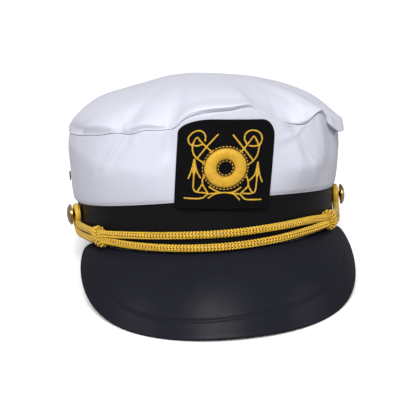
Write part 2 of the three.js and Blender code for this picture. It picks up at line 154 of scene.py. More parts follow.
# Angle in degrees, rise of the seam as a share of SEAM_RISE
SEAM_TABLE = np.array([
    (-180, -0.2), (-130, -0.12), (-90, 0), (-70, 0.08), (-54, 0.18), (-45, 0.27), (-39, 0.23), (-32, 0.37),
    (-20, 0.42), (-15, 0.74), (-8, 0.9), (2, 0.94), (11, 1), (15, 0.74), (21, 0.48), (29, 0.28), (36, 0.2),
    (42, 0.44), (47, 0.5), (53, 0.2), (60, -0.02), (90, -0.08), (130, -0.15), (180, -0.2),
])

# Folds of the side panel: angle at the seam, angle at the foot, share where it starts, width, depth
SIDE_FOLDS = (
    (-39, -50, 0.4, 3.5, 0.7),
    (-22, -23, 0.5, 2.5, 0.6),
    (30, 41, 0.3, 3.5, 0.9),
    (56, 58, 0.4, 6, 0.7),
    (118, 112, 0.3, 7, 0.6),
    (-128, -120, 0.3, 7, 0.7),
    (165, 172, 0.4, 6, 0.5),
)

# Dents of the top panel, and puffs where the depth is below zero: angle, share, width, reach, depth
TOP_FOLDS = (
    (-60, 0.06, 11, 0.07, 0.5),
    (-31, 0.06, 9, 0.08, 0.7),
    (-41, 0.1, 4, 0.12, -0.4),
    (0, 0.12, 15, 0.08, -0.9),
    (0, 0.32, 26, 0.1, 0.7),
    (25, 0.12, 8, 0.2, 0.9),
    (43, 0.16, 8, 0.1, -0.5),
    (66, 0.09, 13, 0.08, -1.5),
    (110, 0.3, 14, 0.2, 0.8),
    (-120, 0.25, 16, 0.2, 0.9),
    (165, 0.2, 18, 0.16, 0.8),
)

# The cord's two strands across the front: angle, upper height, lower height, lift
FRONT_RUN = (
    (-57, 9.6, 5.8, 1),
    (-40, 10.4, 4, 0),
    (-20, 11.1, 3, 0),
    (0, 11, 2.8, 0),
    (20, 11.6, 3.8, 0),
    (38, 11.4, 5, 0),
    (54, 9.6, 5.8, 1),
)

# The middle of the two strands from a knot to its button: angle, height, lift
LEFT_RUN = ((-63, 7.7, 0.75), (-71, 7.6, 0.15), (-78.5, 7.8, 0), (-81.6, 10.6, 0), (-82, SHANK_HEIGHT, 0))
RIGHT_RUN = ((60, 7.1, 0.75), (69.5, 5.9, 0.15), (78, 6.8, 0), (81.6, 10.2, 0), (82, SHANK_HEIGHT, 0))

# Where the cord is knitted, has a core inside its loops and is drawn out to ribs, in points of its route
ROUTE_STEPS = 12  # of the smooth curve between two points of the route
KNITTED_PARTS = ((0.14, 5.05), (20.4, 25.86))
CORED_PARTS = ((0, 4.85), (20.6, 26))
RIBBED_PARTS = ((4.85, 20.6), (25.7, 40.3))


def smoothstep(value, low, high):
    share = np.clip((value - low) / (high - low), 0, 1)
    return share * share * (3 - 2 * share)


def hump(distance, width):
    return np.exp(-((distance / width) ** 2))


def lerp(start, end, share):
    return start + (end - start) * share


def degrees_apart(angle, degrees):
    return (np.degrees(angle) - degrees + 180) % 360 - 180


def seam_share(angle):
    """Rise of the seam at an angle, smooth between the table's rows."""
    degrees = np.degrees(angle)
    at, value = SEAM_TABLE[:, 0], SEAM_TABLE[:, 1]
    rows = np.arange(len(at))
    before, after = np.maximum(rows - 1, 0), np.minimum(rows + 1, len(at) - 1)
    slope = (value[after] - value[before]) / (at[after] - at[before])
    i = np.clip(np.searchsorted(at, degrees, side="right") - 1, 0, len(at) - 2)
    span = at[i + 1] - at[i]
    t = (degrees - at[i]) / span
    ease = t * t * (3 - 2 * t)
    leave = t * (1 - t) ** 2 * slope[i] * span
    arrive = t * t * (t - 1) * slope[i + 1] * span
    return value[i] + (value[i + 1] - value[i]) * ease + leave + arrive


def outward(angle):
    """Unit directions away from the band."""
    x, y = np.sin(angle) / HALF_WIDTH, -np.cos(angle) / HALF_DEPTH
    size = np.hypot(x, y)
    return np.stack([x / size, y / size, np.zeros_like(size)], -1)


def beside(angle, out, height):
    """Points beside the band, from their angle, distance out and height."""
    angle, out, height = np.broadcast_arrays(*(np.asarray(v, float) for v in (angle, out, height)))
    foot = np.stack([HALF_WIDTH * np.sin(angle), -HALF_DEPTH * np.cos(angle), height], -1)
    return foot + outward(angle) * out[..., None]


def hem_height(angle):
    return HEM_SIDE + (HEM_FRONT - HEM_SIDE) * np.maximum(np.cos(angle), 0) ** 2


def seam_height(angle):
    return SEAM_HEIGHT + SEAM_RISE * seam_share(angle)


def side_out(share, puff_share):
    puff = HEM_PUFF * np.sin(math.pi * np.sqrt(np.clip(puff_share, 0, 1)))
    return CLEARANCE + CLOTH_WALL + CROWN_FLARE * share + puff


def side_surface(angle, share, inset, lift=0.0, fold=2.5):
    """The side panel from its hem, share 0, to its seam, share 1, moved in by inset and up by lift."""
    out = side_out(share, share) - inset
    for top, foot, start, width, depth in SIDE_FOLDS:
        middle = lerp(foot, top, (share - start) / (1 - start))
        strength = smoothstep(share, start, (1 + start) / 2)
        out = out - fold * depth * strength * hump(degrees_apart(angle, middle), width)
    points = beside(angle, out, lerp(hem_height(angle), seam_height(angle), share) + lift)
    points[..., 0] += CROWN_LEAN * share
    return points


def top_surface(angle, share, inset, fold=2.5):
    """The top panel from its seam, share 0, to the apex, share 1."""
    angle, share, inset = np.broadcast_arrays(*(np.asarray(v, float) for v in (angle, share, inset)))
    turn = share * math.pi / 2
    rim = side_surface(angle, np.ones_like(share), 0, fold=fold)
    even = SEAM_HEIGHT + SEAM_RISE * lerp(*EVEN_SEAM, (1 + np.cos(angle)) / 2)
    even_rim = beside(angle, side_out(1.0, 1.0), even)
    even_rim[..., 0] += CROWN_LEAN
    apex = np.array([CROWN_LEAN, APEX_BACK, APEX_HEIGHT])
    spread = np.clip(np.cos(turn), 0, 1) ** DOME_SPREAD
    rise = np.sin(turn) ** DOME_RISE
    push = -inset
    for at_angle, at, width, reach, depth in TOP_FOLDS:
        across = hump(degrees_apart(angle, at_angle), width)
        along = hump(share - at, reach) * smoothstep(share, 0, at / 2) * (1 - share)
        push = push - fold * depth * across * along
    points = np.empty(angle.shape + (3,))
    points[..., :2] = lerp(apex[:2], even_rim[..., :2], spread[..., None])
    points[..., 2] = lerp(even_rim[..., 2], apex[2], rise)
    points += (rim - even_rim) * ((1 - share) ** 4 * (1 + 4 * share))[..., None]
    points += outward(angle) * (push * np.cos(turn))[..., None]
    points[..., 2] += push * np.sin(turn) + CLEARANCE
    return points


def peak_section(end, share):
    """Distance out and height of the peak's upper face, from the band, share 0, to the edge, share 1."""
    reach = PEAK_REACH * (1 - end ** PEAK_ROUND[0]) ** PEAK_ROUND[1]
    drop = PEAK_DROP * (1 - end ** DROP_ROUND)
    size = np.hypot(reach, drop)
    bulge = PEAK_BULGE * size * 4 * share * (1 - share) / math.hypot(PEAK_REACH, PEAK_DROP)
    out = reach * share + bulge * drop / size
    return np.stack([out, -CLEARANCE - drop * share + bulge * reach / size], -1)


def peak_surface(place, share, inset):
    """The peak's face between its two ends, -1 to 1, moved down into its wall by inset."""
    place, share, inset = np.broadcast_arrays(*(np.asarray(v, float) for v in (place, share, inset)))
    end = np.abs(place)
    slope = peak_section(end, np.minimum(share + 0.01, 1)) - peak_section(end, np.maximum(share - 0.01, 0))
    slope /= np.linalg.norm(slope, axis=-1, keepdims=True)
    point = peak_section(end, share)
    out = point[..., 0] + slope[..., 1] * inset
    return beside(PEAK_SPREAD * place, out, point[..., 1] - slope[..., 0] * inset)


def resting_tilt():
    """How far the cap leans back until the peak's lowest point and the back of the band stand level."""
    tilt = 0.0
    for place in np.arange(0, PEAK_END, 0.02):
        for inset in (0, PEAK_WALL):
            edge = peak_surface(place, 1.0, inset)
            away = HALF_DEPTH - edge[1]
            settled = math.asin(BAND_SETTLE / math.hypot(away, edge[2]))
            tilt = max(tilt, math.atan2(-edge[2], away) + settled)
    return tilt


TILT = resting_tilt()
LAID_MATRIX = np.array(Matrix.Rotation(-TILT, 3, "X"))


def laid_down(points):
    """Points of the upright cap in millimetres, as metres on the cap at rest."""
    return (np.asarray(points, float) @ LAID_MATRIX.T + REST_SHIFT) / MM


def rest_shift():
    """The shift that puts the laid cap's band where the frame has it, its lower edge foremost."""
    low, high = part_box("band")
    back = MM * low.y + HALF_DEPTH * math.cos(TILT)
    return np.array([MM * (low.x + high.x) / 2, back, HALF_DEPTH * math.sin(TILT) - BAND_SETTLE])


REST_SHIFT = rest_shift()


def cord_out(lift):
    return lerp(CORD_SEAT + CORD_RADIUS, CLEARANCE + KNOT_WALL + KNOT_PLAY + CORD_RADIUS, lift)


def cord_point(degrees, height, lift):
    return beside(math.radians(degrees), cord_out(lift), height)


def button_loop(run, knot):
    """The two strands from a knot to its button, and the turn over the button's shank."""
    shank = run[-1]
    side = math.copysign(1, shank[0])
    angle = math.radians(shank[0])
    arc = math.radians(1) * math.hypot(HALF_WIDTH * math.cos(angle), HALF_DEPTH * math.sin(angle))

    def strand(sign):
        made = []
        for i, (degrees, height, lift) in enumerate(run[:-1]):
            before, after = run[i - 1] if i else knot, run[i + 1]
            along = Vector(((after[0] - before[0]) * arc, after[1] - before[1])).normalized()
            across = sign * side * CORD_PITCH / 2
            made.append(cord_point(degrees - along.y * across / arc, height + along.x * across, lift))
        return made

    turn = []
    for step in range(5):
        turned = math.radians(45 * step)
        across = side * TURN_RADIUS * math.cos(turned)
        turn.append(cord_point(shank[0] - across / arc, shank[1] + TURN_RADIUS * math.sin(turned), shank[2]))
    return [*strand(1), *turn, *strand(-1)[::-1]]


def cord_route():
    upper = [cord_point(angle, high, lift) for angle, high, _, lift in FRONT_RUN]
    lower = [cord_point(angle, low, lift) for angle, _, low, lift in FRONT_RUN]
    middle = [(row[0], (row[1] + row[2]) / 2) for row in (FRONT_RUN[0], FRONT_RUN[-1])]
    right = button_loop(RIGHT_RUN, middle[1])
    left = button_loop(LEFT_RUN, middle[0])
    return np.array([*upper, *right, *lower[::-1], *left[::-1]])


def closed_curve(points, steps):
    """A smooth closed curve through points, with as many steps between any two of them."""
    made = []
    for i in range(len(points)):
        a, b, c, d = (points[(i + k) % len(points)] for k in (-1, 0, 1, 2))
        ab, bc, cd = (math.sqrt(np.linalg.norm(q - p)) for p, q in ((a, b), (b, c), (c, d)))
        leave = ((b - a) / ab - (c - a) / (ab + bc) + (c - b) / bc) * bc
        arrive = ((c - b) / bc - (d - b) / (bc + cd) + (d - c) / cd) * bc
        for t in np.arange(steps) / steps:
            cubic = 2 * b - 2 * c + leave + arrive
            square = -3 * b + 3 * c - 2 * leave - arrive
            made.append(b + leave * t + square * t * t + cubic * t**3)
    return np.array(made)


def badge_surface(flat):
    """Points of the upright cap from flat places of the badge: across, up and off its back face."""
    across, up, stand = np.moveaxis(np.asarray(flat, float), -1, 0)
    x = across * math.cos(BADGE_TURN) - up * math.sin(BADGE_TURN)
    height = BADGE_MIDDLE + across * math.sin(BADGE_TURN) + up * math.cos(BADGE_TURN)
    angle = x / HALF_WIDTH
    hem = hem_height(angle)
    share = np.maximum((height - hem) / (seam_height(angle) - hem), 0)
    points = beside(angle, side_out(share, np.maximum(share, 0.25)) + CLEARANCE + stand, height)
    points[..., 0] += CROWN_LEAN * share
    return points


def badge_outline(steps):
    """Points round the badge's edge, flat, counterclockwise from its lower left corner."""
    half, rest = BADGE_WIDTH / 2, BADGE_HEIGHT / 2
    small = (BADGE_CORNER, BADGE_CORNER)
    right = (BADGE_WIDTH * RIGHT_SHOULDER[0], BADGE_HEIGHT * RIGHT_SHOULDER[1])
    left = (BADGE_WIDTH * LEFT_SHOULDER[0], BADGE_HEIGHT * LEFT_SHOULDER[1])
    made = [(-half + BADGE_CORNER, -rest)]
    for quarter, (side, level, (across, up), arc_steps, run_steps) in enumerate((
        (1, -1, small, 6, steps),
        (1, 1, right, 12, steps),
        (-1, 1, left, 18, steps // 2),
        (-1, -1, small, 6, steps),
    )):
        turn = np.linspace(0, math.pi / 2, arc_steps) + (quarter - 1) * math.pi / 2
        middle = np.array([side * (half - across), level * (rest - up)])
        arc = middle + np.stack([across * np.cos(turn), up * np.sin(turn)], -1)
        made += [*np.linspace(made[-1], arc[0], run_steps)[1:], *arc[1:]]
    return np.array(made[:-1])


def roughly(points, size, seed):
    """Smooth noise from -1 to 1 at points, with features of that size."""
    flat = np.asarray(points, float).reshape(-1, 3) / size + seed
    return np.array([noise.noise(p) for p in flat]).reshape(np.shape(points)[:-1])


def crease_depth(x, y, creases):
    """Depth in millimetres of straight soft creases at flat places of a panel."""
    depth = np.zeros(np.broadcast(x, y).shape)
    for x0, y0, x1, y1, width, deep in creases:
        length2 = (x1 - x0) ** 2 + (y1 - y0) ** 2
        t = np.clip(((x - x0) * (x1 - x0) + (y - y0) * (y1 - y0)) / length2, 0, 1)
        distance = np.hypot(x - lerp(x0, x1, t), y - lerp(y0, y1, t))
        fade = 0.35 + 0.65 * np.sin(math.pi * np.clip(0.15 + 0.7 * t, 0, 1))
        depth += deep * fade * hump(distance, width)
    return depth


# The line moulded along the peak: place between the peak's ends, distance from its edge in millimetres
PEAK_LINE = np.array([
    (-0.73, 17.2), (-0.66, 15.2), (-0.56, 13.4), (-0.46, 12.7), (-0.36, 12.3), (-0.145, 11.2), (0.058, 12.2),
    (0.3, 15.6), (0.5, 17.6), (0.66, 17.3), (0.8, 16.1),
])

# Creases of the side panel, in millimetres round the cap from the front and up from the hem: both ends, then
# the width, and the depth, below zero where the cloth stands out in a ridge
SIDE_CREASES = (
    (-68, 45, -81, 26, 1.6, -0.6),
    (-73, 45, -87, 25, 3.0, 0.6),
    (-34, 46, -35, 4, 2.8, 0.6),
    (50, 38, 64, 18, 1.8, -0.7),
    (56, 38, 70, 20, 2.4, 0.5),
    (50, 38, 34, 35, 1.7, -0.35),
    (48, 34, 36, 29, 2.5, 0.25),
    (50, 38, 58, 45, 1.8, -0.35),
    (73, 45, 76, 20, 4.5, -1.0),
    (112, 48, 112, 10, 14.0, 1.5),
)

# The line along which the side panel breaks, in millimetres: round from the front, over the hem, how far out
BREAK_LINE = np.array([
    (-290, 26, 1.0), (-200, 24, 1.0), (-135, 38, 1.2), (-116, 36, 2.0), (-83, 26, 3.2), (-55, 21, 3.2),
    (-44, 19, 2.2), (-27, 18, 0.0), (28, 17, 0.0), (38, 17, 2.6), (50, 17, 4.8), (66, 18, 4.2), (76, 24, 2.4),
    (90, 30, 1.2), (150, 26, 1.0), (290, 26, 1.0),
])

# Creases of the top panel, in millimetres round the rim and up the dome from the seam
TOP_CREASES = (
    (-70, 0, -68, 14, 2.0, 0.9),
    (-37, 0, -40, 9, 2.5, 0.5),
    (34, 0, 42, 34, 5.0, 1.2),
    (52, 3, 62, 26, 4.5, -1.2),
    (-142, 8, -112, 8, 7.0, 2.2),
    (112, 0, 112, 4, 14.0, 1.5),
)

# How far the dome has sunk, in millimetres: place across the cap, depth
SUNK = np.array([
    (-90, 0.0), (-68, 0.6), (-47, 2.4), (-34, 2.6), (-15, 1.3), (0, 1.4), (25, 2.8), (49, 3.2), (70, 3.6),
    (90, 3.8),
])

# Pillowy tucks of the top panel over the seam: both ends round the rim, height, how far each stands out and
# hangs down, and how crisp its upper edge is
TUCKS = (
    (-113, -70, 13.0, 2.6, 0.3, 1.0),
    (-69, -35, 13.0, 2.8, 0.3, 1.0),
    (-37, 22, 20.0, 1.7, 0.2, 0.2),
    (46, 80, 10.0, 1.8, 0.6, 0.6),
    (84, 114, 6.5, 3.2, 8.5, 0.3),
    (126, 178, 11.0, 1.6, 0.4, 0.3),
    (180, 245, 10.0, 1.5, 0.4, 0.5),
    (-196, -150, 11.0, 1.7, 0.4, 0.3),
    (-250, -198, 10.0, 1.5, 0.4, 0.5),
)


def broken(arc, height, top):
    """How far the side panel stands out round the line where it breaks."""
    line, far = (np.interp(arc, BREAK_LINE[:, 0], BREAK_LINE[:, column]) for column in (1, 2))
    soft, least = 3.0, 6.0
    reach = np.where(height > line, np.maximum(top - line, least), line)
    tent = 1 - (np.hypot(height - line, soft) - soft) / (np.hypot(reach, soft) - soft)
    return far * np.maximum(tent, 0)


def seam_fade(arc):
    """How deep the seam lies: one along most of it, near zero where the folds pull it smooth."""
    return 1 - 0.85 * smoothstep(arc, 12, 22) * (1 - smoothstep(arc, 42, 52))


def tucked(arc, climb):
    """How far out and down the top panel stands in its tucks."""
    out, down = np.zeros_like(arc), np.zeros_like(arc)
    for start, end, height, far, low, crisp in TUCKS:
        t = (arc - start) / (end - start)
        lens = np.sin(math.pi * np.clip(t, 0, 1)) ** 0.55
        crest = height * lens + 0.8
        x = np.clip(climb / crest, 0, 1)
        rise = lerp(x * x * (3 - 2 * x), x, crisp)
        fall = hump(np.maximum(climb - crest, 0), 11.0)
        ends = smoothstep(t, 0, 0.16) * smoothstep(1 - t, 0, 0.16)
        out += far * lens * ends * rise * fall
        down += low * lens * np.sin(math.pi * np.clip(climb / (2 * crest), 0, 1)) * np.minimum(climb / 0.6, 1)
    return out, down


def cap_settings():
    return bpy.context.scene.sailor_cap


def lofted(points, wrap_rows, wrap_columns):
    """Faces of a grid of points: one quad between every two rows and columns."""
    r, c = points.shape[:2]
    a = np.arange(r if wrap_rows else r - 1)[:, None]
    b = np.arange(c if wrap_columns else c - 1)[None, :]
    up, side = (a + 1) % r, (b + 1) % c
    quads = np.stack([a * c + b, a * c + side, up * c + side, up * c + b], -1)
    return quads.reshape(-1, 4).tolist()


def grid_mesh(name, points, wrap_rows=False, wrap_columns=False, lengths=False):
    """A closed mesh from a grid of points of the upright cap, with a UV map of real lengths if asked for."""
    mesh = bpy.data.meshes.new(name)
    faces = lofted(points, wrap_rows, wrap_columns)
    mesh.from_pydata(laid_down(points.reshape(-1, 3)).tolist(), [], faces, shade_flat=False)
    if lengths:
        add_lengths_map(mesh, points, wrap_rows, wrap_columns)
    closed_up(mesh)
    return mesh


def add_lengths_map(mesh, points, wrap_rows, wrap_columns):
    """A UV map of lengths along the grid's columns and rows, so that a weave keeps its real size."""
    r, c = points.shape[:2]
    ring = np.concatenate([points, points[:, :1]], 1)
    along = np.linalg.norm(np.diff(ring, axis=1), axis=-1).mean(0)
    u = np.concatenate([[0], np.cumsum(along)])
    column = np.concatenate([points, points[:1]], 0)
    climb = np.linalg.norm(np.diff(column, axis=0), axis=-1).mean(1)
    v = np.concatenate([[0], np.cumsum(climb)])
    a = np.arange(r if wrap_rows else r - 1)[:, None]
    b = np.arange(c if wrap_columns else c - 1)[None, :]
    corners = np.stack([
        np.stack(np.broadcast_arrays(u[b + right], v[a + up]), -1)
        for right, up in ((0, 0), (1, 0), (1, 1), (0, 1))
    ], 2)
    layer = mesh.uv_layers.new(name="Lengths")
    layer.data.foreach_set("uv", (corners / MAP_UNIT).astype(np.float32).ravel())


def closed_up(mesh):
    """Welds equal points, drops faces without area and turns every shell's outside out."""
    work = bmesh.new()
    work.from_mesh(mesh)
    bmesh.ops.remove_doubles(work, verts=work.verts, dist=1e-6)
    bmesh.ops.dissolve_degenerate(work, edges=work.edges, dist=1e-7)
    bmesh.ops.recalc_face_normals(work, faces=work.faces)
    work.to_mesh(mesh)
    work.free()
    mesh.shade_smooth()


def finished(name, mesh, material, slot, *nodes):
    """Links a finished mesh as a piece of the cap that stands for the frame's nodes."""
    mesh.materials.clear()
    mesh.materials.append(material)
    piece = bpy.data.objects.new(name, mesh)
    bpy.context.scene.collection.objects.link(piece)
    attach(piece, "root")
    if nodes:
        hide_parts(*nodes)
    return piece


def add_node(tree, kind, inputs=None, **settings):
    """Adds a node, sets its properties, and fills or links its inputs."""
    made = tree.nodes.new(kind)
    for name, value in settings.items():
        setattr(made, name, value)
    for key, value in (inputs or {}).items():
        if isinstance(value, bpy.types.NodeSocket):
            tree.links.new(value, made.inputs[key])
        else:
            made.inputs[key].default_value = value
    return made


def linear(color):
    """Turns an sRGB hex colour to linear red, green, blue and alpha."""
    parts = [int(color[i:i + 2], 16) / 255 for i in (1, 3, 5)]
    return [p / 12.92 if p <= 0.04045 else ((p + 0.055) / 1.055) ** 2.4 for p in parts] + [1.0]


def surface(name, constants, *noises):
    """A new material, its tree, its shader, the places on the piece, and noises by scale and detail."""
    material = bpy.data.materials.new(name)
    material.use_nodes = True
    tree = material.node_tree
    tree.nodes.clear()
    shader = add_node(tree, "ShaderNodeBsdfPrincipled", constants)
    add_node(tree, "ShaderNodeOutputMaterial", {"Surface": shader.outputs["BSDF"]})
    place = add_node(tree, "ShaderNodeTexCoord").outputs["Object"]
    clouds = []
    for scale, detail in noises:
        cloud = add_node(tree, "ShaderNodeTexNoise", {"Vector": place, "Scale": scale, "Detail": detail})
        clouds.append(cloud.outputs["Fac"])
    return material, tree, shader, place, clouds


def shaded(tree, shader, base, deep, share):
    """Colours the shader between two hex colours by a share."""
    mix = add_node(tree, "ShaderNodeMix", {0: share, 6: linear(base), 7: linear(deep)}, data_type="RGBA")
    tree.links.new(mix.outputs[2], shader.inputs["Base Color"])


def textured(tree, shader, height, strength, depth, rub=None, gloss=None):
    """Gives the shader relief of a depth in metres, and a roughness that varies with a rub pattern."""
    bump = add_node(tree, "ShaderNodeBump", {"Height": height, "Strength": strength, "Distance": depth})
    tree.links.new(bump.outputs[0], shader.inputs["Normal"])
    if rub is not None:
        rough = add_node(tree, "ShaderNodeMapRange", {0: rub, 1: 0.3, 2: 0.7, 3: gloss[0], 4: gloss[1]})
        tree.links.new(rough.outputs[0], shader.inputs["Roughness"])


def satin():
    # Polyester satin, woven with long floats and sewn on a thin backing: a smooth cloth with a soft broad
    # gloss, a faint sheen at its edges and hardly any visible thread
    cap = cap_settings()
    material, tree, shader, _, (cloud,) = surface("woven_polyester_satin", {
        "Sheen Weight": 0.1, "Sheen Roughness": 0.4, "Specular IOR Level": 0.35,
    }, (14.0, 3.0))
    tone = add_node(tree, "ShaderNodeMapRange", {0: cloud, 1: 0.35, 2: 0.65})
    shaded(tree, shader, cap.satin_color, cap.satin_shade, tone.outputs[0])
    lengths = add_node(tree, "ShaderNodeUVMap", uv_map="Lengths").outputs["UV"]
    # Floats of 0.12 mm are too fine to show, so they are drawn every 1.8 mm
    floats = add_node(tree, "ShaderNodeTexWave", {"Vector": lengths, "Scale": 17.0, "Distortion": 0.6})
    slubs = add_node(tree, "ShaderNodeTexNoise", {"Vector": lengths, "Scale": 60.0, "Detail": 2.0})
    relief = add_node(tree, "ShaderNodeMath", {0: floats.outputs[0], 1: slubs.outputs[0]}, operation="ADD")
    textured(tree, shader, relief.outputs[0], 0.06, 0.0002, slubs.outputs[0], (0.42, 0.52))
    return material


def leatherette():
    # Leatherette, PVC calendered on knitted backing and embossed with a fine grain: dark, smooth, with a soft
    # gloss that breaks up in the grain
    material, tree, shader, place, (cloud, wrinkle) = surface(
        "embossed_pvc_leatherette", {"Specular IOR Level": 0.1}, (40.0, 4.0), (320.0, 3.0))
    shaded(tree, shader, cap_settings().band_color, "#0E0E11", cloud)
    # Grains of 0.4 mm are drawn 0.9 mm wide
    grain = add_node(tree, "ShaderNodeTexVoronoi", {"Vector": place, "Scale": 1100.0, "Randomness": 0.9})
    relief = add_node(tree, "ShaderNodeMath", {0: grain.outputs["Distance"], 1: wrinkle}, operation="ADD")
    textured(tree, shader, relief.outputs[0], 0.12, 0.0002, wrinkle, (0.34, 0.46))
    return material


def moulded_plastic():
    # PVC sheet moulded over a polished form: blue-black, nearly smooth, with a satin gloss and a faint orange
    # peel
    material, tree, shader, _, (cloud, peel, rub) = surface(
        "moulded_pvc_sheet", {"Specular IOR Level": 0.05}, (18.0, 2.0), (420.0, 2.0), (60.0, 5.0))
    shaded(tree, shader, cap_settings().peak_color, "#1C1C24", cloud)
    textured(tree, shader, peel, 0.05, 0.0002, rub, (0.3, 0.4))
    return material


def gold_yarn(name, base, deep, filaments, strength):
    """Yarn of twisted rayon filaments: satiny along its length, unevenly toned, and deep in colour as painted
    shade on the cores and pads seen in its gaps.
    """
    material, tree, shader, _, (cloud,) = surface(name, {"Sheen Weight": 0.1}, (260.0, 3.0))
    across, along, tone, shade = (
        add_node(tree, "ShaderNodeAttribute", attribute_name=key).outputs["Fac"]
        for key in ("across", "along", "tone", "shade")
    )
    twist = add_node(tree, "ShaderNodeMath", {0: along, 1: 0.5, 2: across}, operation="MULTIPLY_ADD")
    turns = add_node(tree, "ShaderNodeMath", {0: twist.outputs[0], 1: 2 * math.pi * filaments},
                     operation="MULTIPLY")
    thread = add_node(tree, "ShaderNodeMath", {0: turns.outputs[0]}, operation="SINE")
    uneven = add_node(tree, "ShaderNodeMapRange", {0: shade, 3: 0.8})
    bright = add_node(tree, "ShaderNodeMath", {0: tone, 1: uneven.outputs[0]}, operation="MULTIPLY")
    clouded = add_node(tree, "ShaderNodeMath", {0: cloud, 1: -0.3, 2: 1.12}, operation="MULTIPLY_ADD")
    tone_with_painted_gap_shade = add_node(tree, "ShaderNodeMath", {0: bright.outputs[0], 1: clouded.outputs[0]},
                   operation="MULTIPLY", use_clamp=True)
    # Painted shade: where the tone is low, as on the cord's cores and the ring's pad, the yarn takes the deep
    # colour
    shaded(tree, shader, deep, base, tone_with_painted_gap_shade.outputs[0])
    textured(tree, shader, thread.outputs[0], strength, 0.0001, cloud, (0.34, 0.46))
    return material


def felt():
    # Wool felt, needled and pressed: black, without gloss, with a short nap that greys slightly at its edges
    # Its fibres of 0.03 mm lie in tufts, drawn 0.6 mm wide
    material, tree, shader, _, (cloud, nap) = surface("pressed_wool_felt", {
        "Roughness": 0.95, "Specular IOR Level": 0.08, "Sheen Weight": 0.01,
    }, (700.0, 5.0), (1600.0, 4.0))
    shaded(tree, shader, cap_settings().felt_color, "#0B0B0D", cloud)
    textured(tree, shader, nap, 0.5, 0.0002)
    return material


def brass(name, base, deep, polish):
    """Brass sheet, stamped and lacquered: a warm mirror with a little tarnish in broad clouds."""
    material, tree, shader, _, (cloud, scratch) = surface(name, {"Metallic": 1.0}, (180.0, 4.0), (900.0, 3.0))
    tone = add_node(tree, "ShaderNodeMapRange", {0: cloud, 1: 0.4, 2: 0.75})
    shaded(tree, shader, base, deep, tone.outputs[0])
    textured(tree, shader, scratch, 0.05, 0.0001, cloud, (polish, polish + 0.15))
    return material


def shadowed_hole():
    # Painted shade: a dark disc for the cloth's cut edge and the dark inside the crown, seen through an
    # eyelet
    material, tree, shader, _, (cloud,) = surface("cut_edge_in_shadow", {"Roughness": 0.9}, (900.0, 2.0))
    shaded(tree, shader, "#0C0C0E", "#1C1B1C", cloud)
    return material


def paper_floor():
    # Seamless matt background paper, rolled out under the cap: white, without gloss
    material, tree, shader, _, (fibre,) = surface(
        "matt_background_paper", {"Roughness": 0.9, "Specular IOR Level": 0.1}, (30.0, 3.0))
    # The paper looks white, and throws back about as much light as grey paper, so that the cap keeps its
    # shades
    seen = add_node(tree, "ShaderNodeLightPath").outputs["Is Camera Ray"]
    white = add_node(tree, "ShaderNodeMix", {0: fibre, 6: linear("#FEFEFE"), 7: linear("#FBFBFB")},
                     data_type="RGBA")
    tint = add_node(tree, "ShaderNodeMix", {0: seen, 6: linear("#8C8C8E"), 7: white.outputs[2]},
                    data_type="RGBA")
    tree.links.new(tint.outputs[2], shader.inputs["Base Color"])
    return material


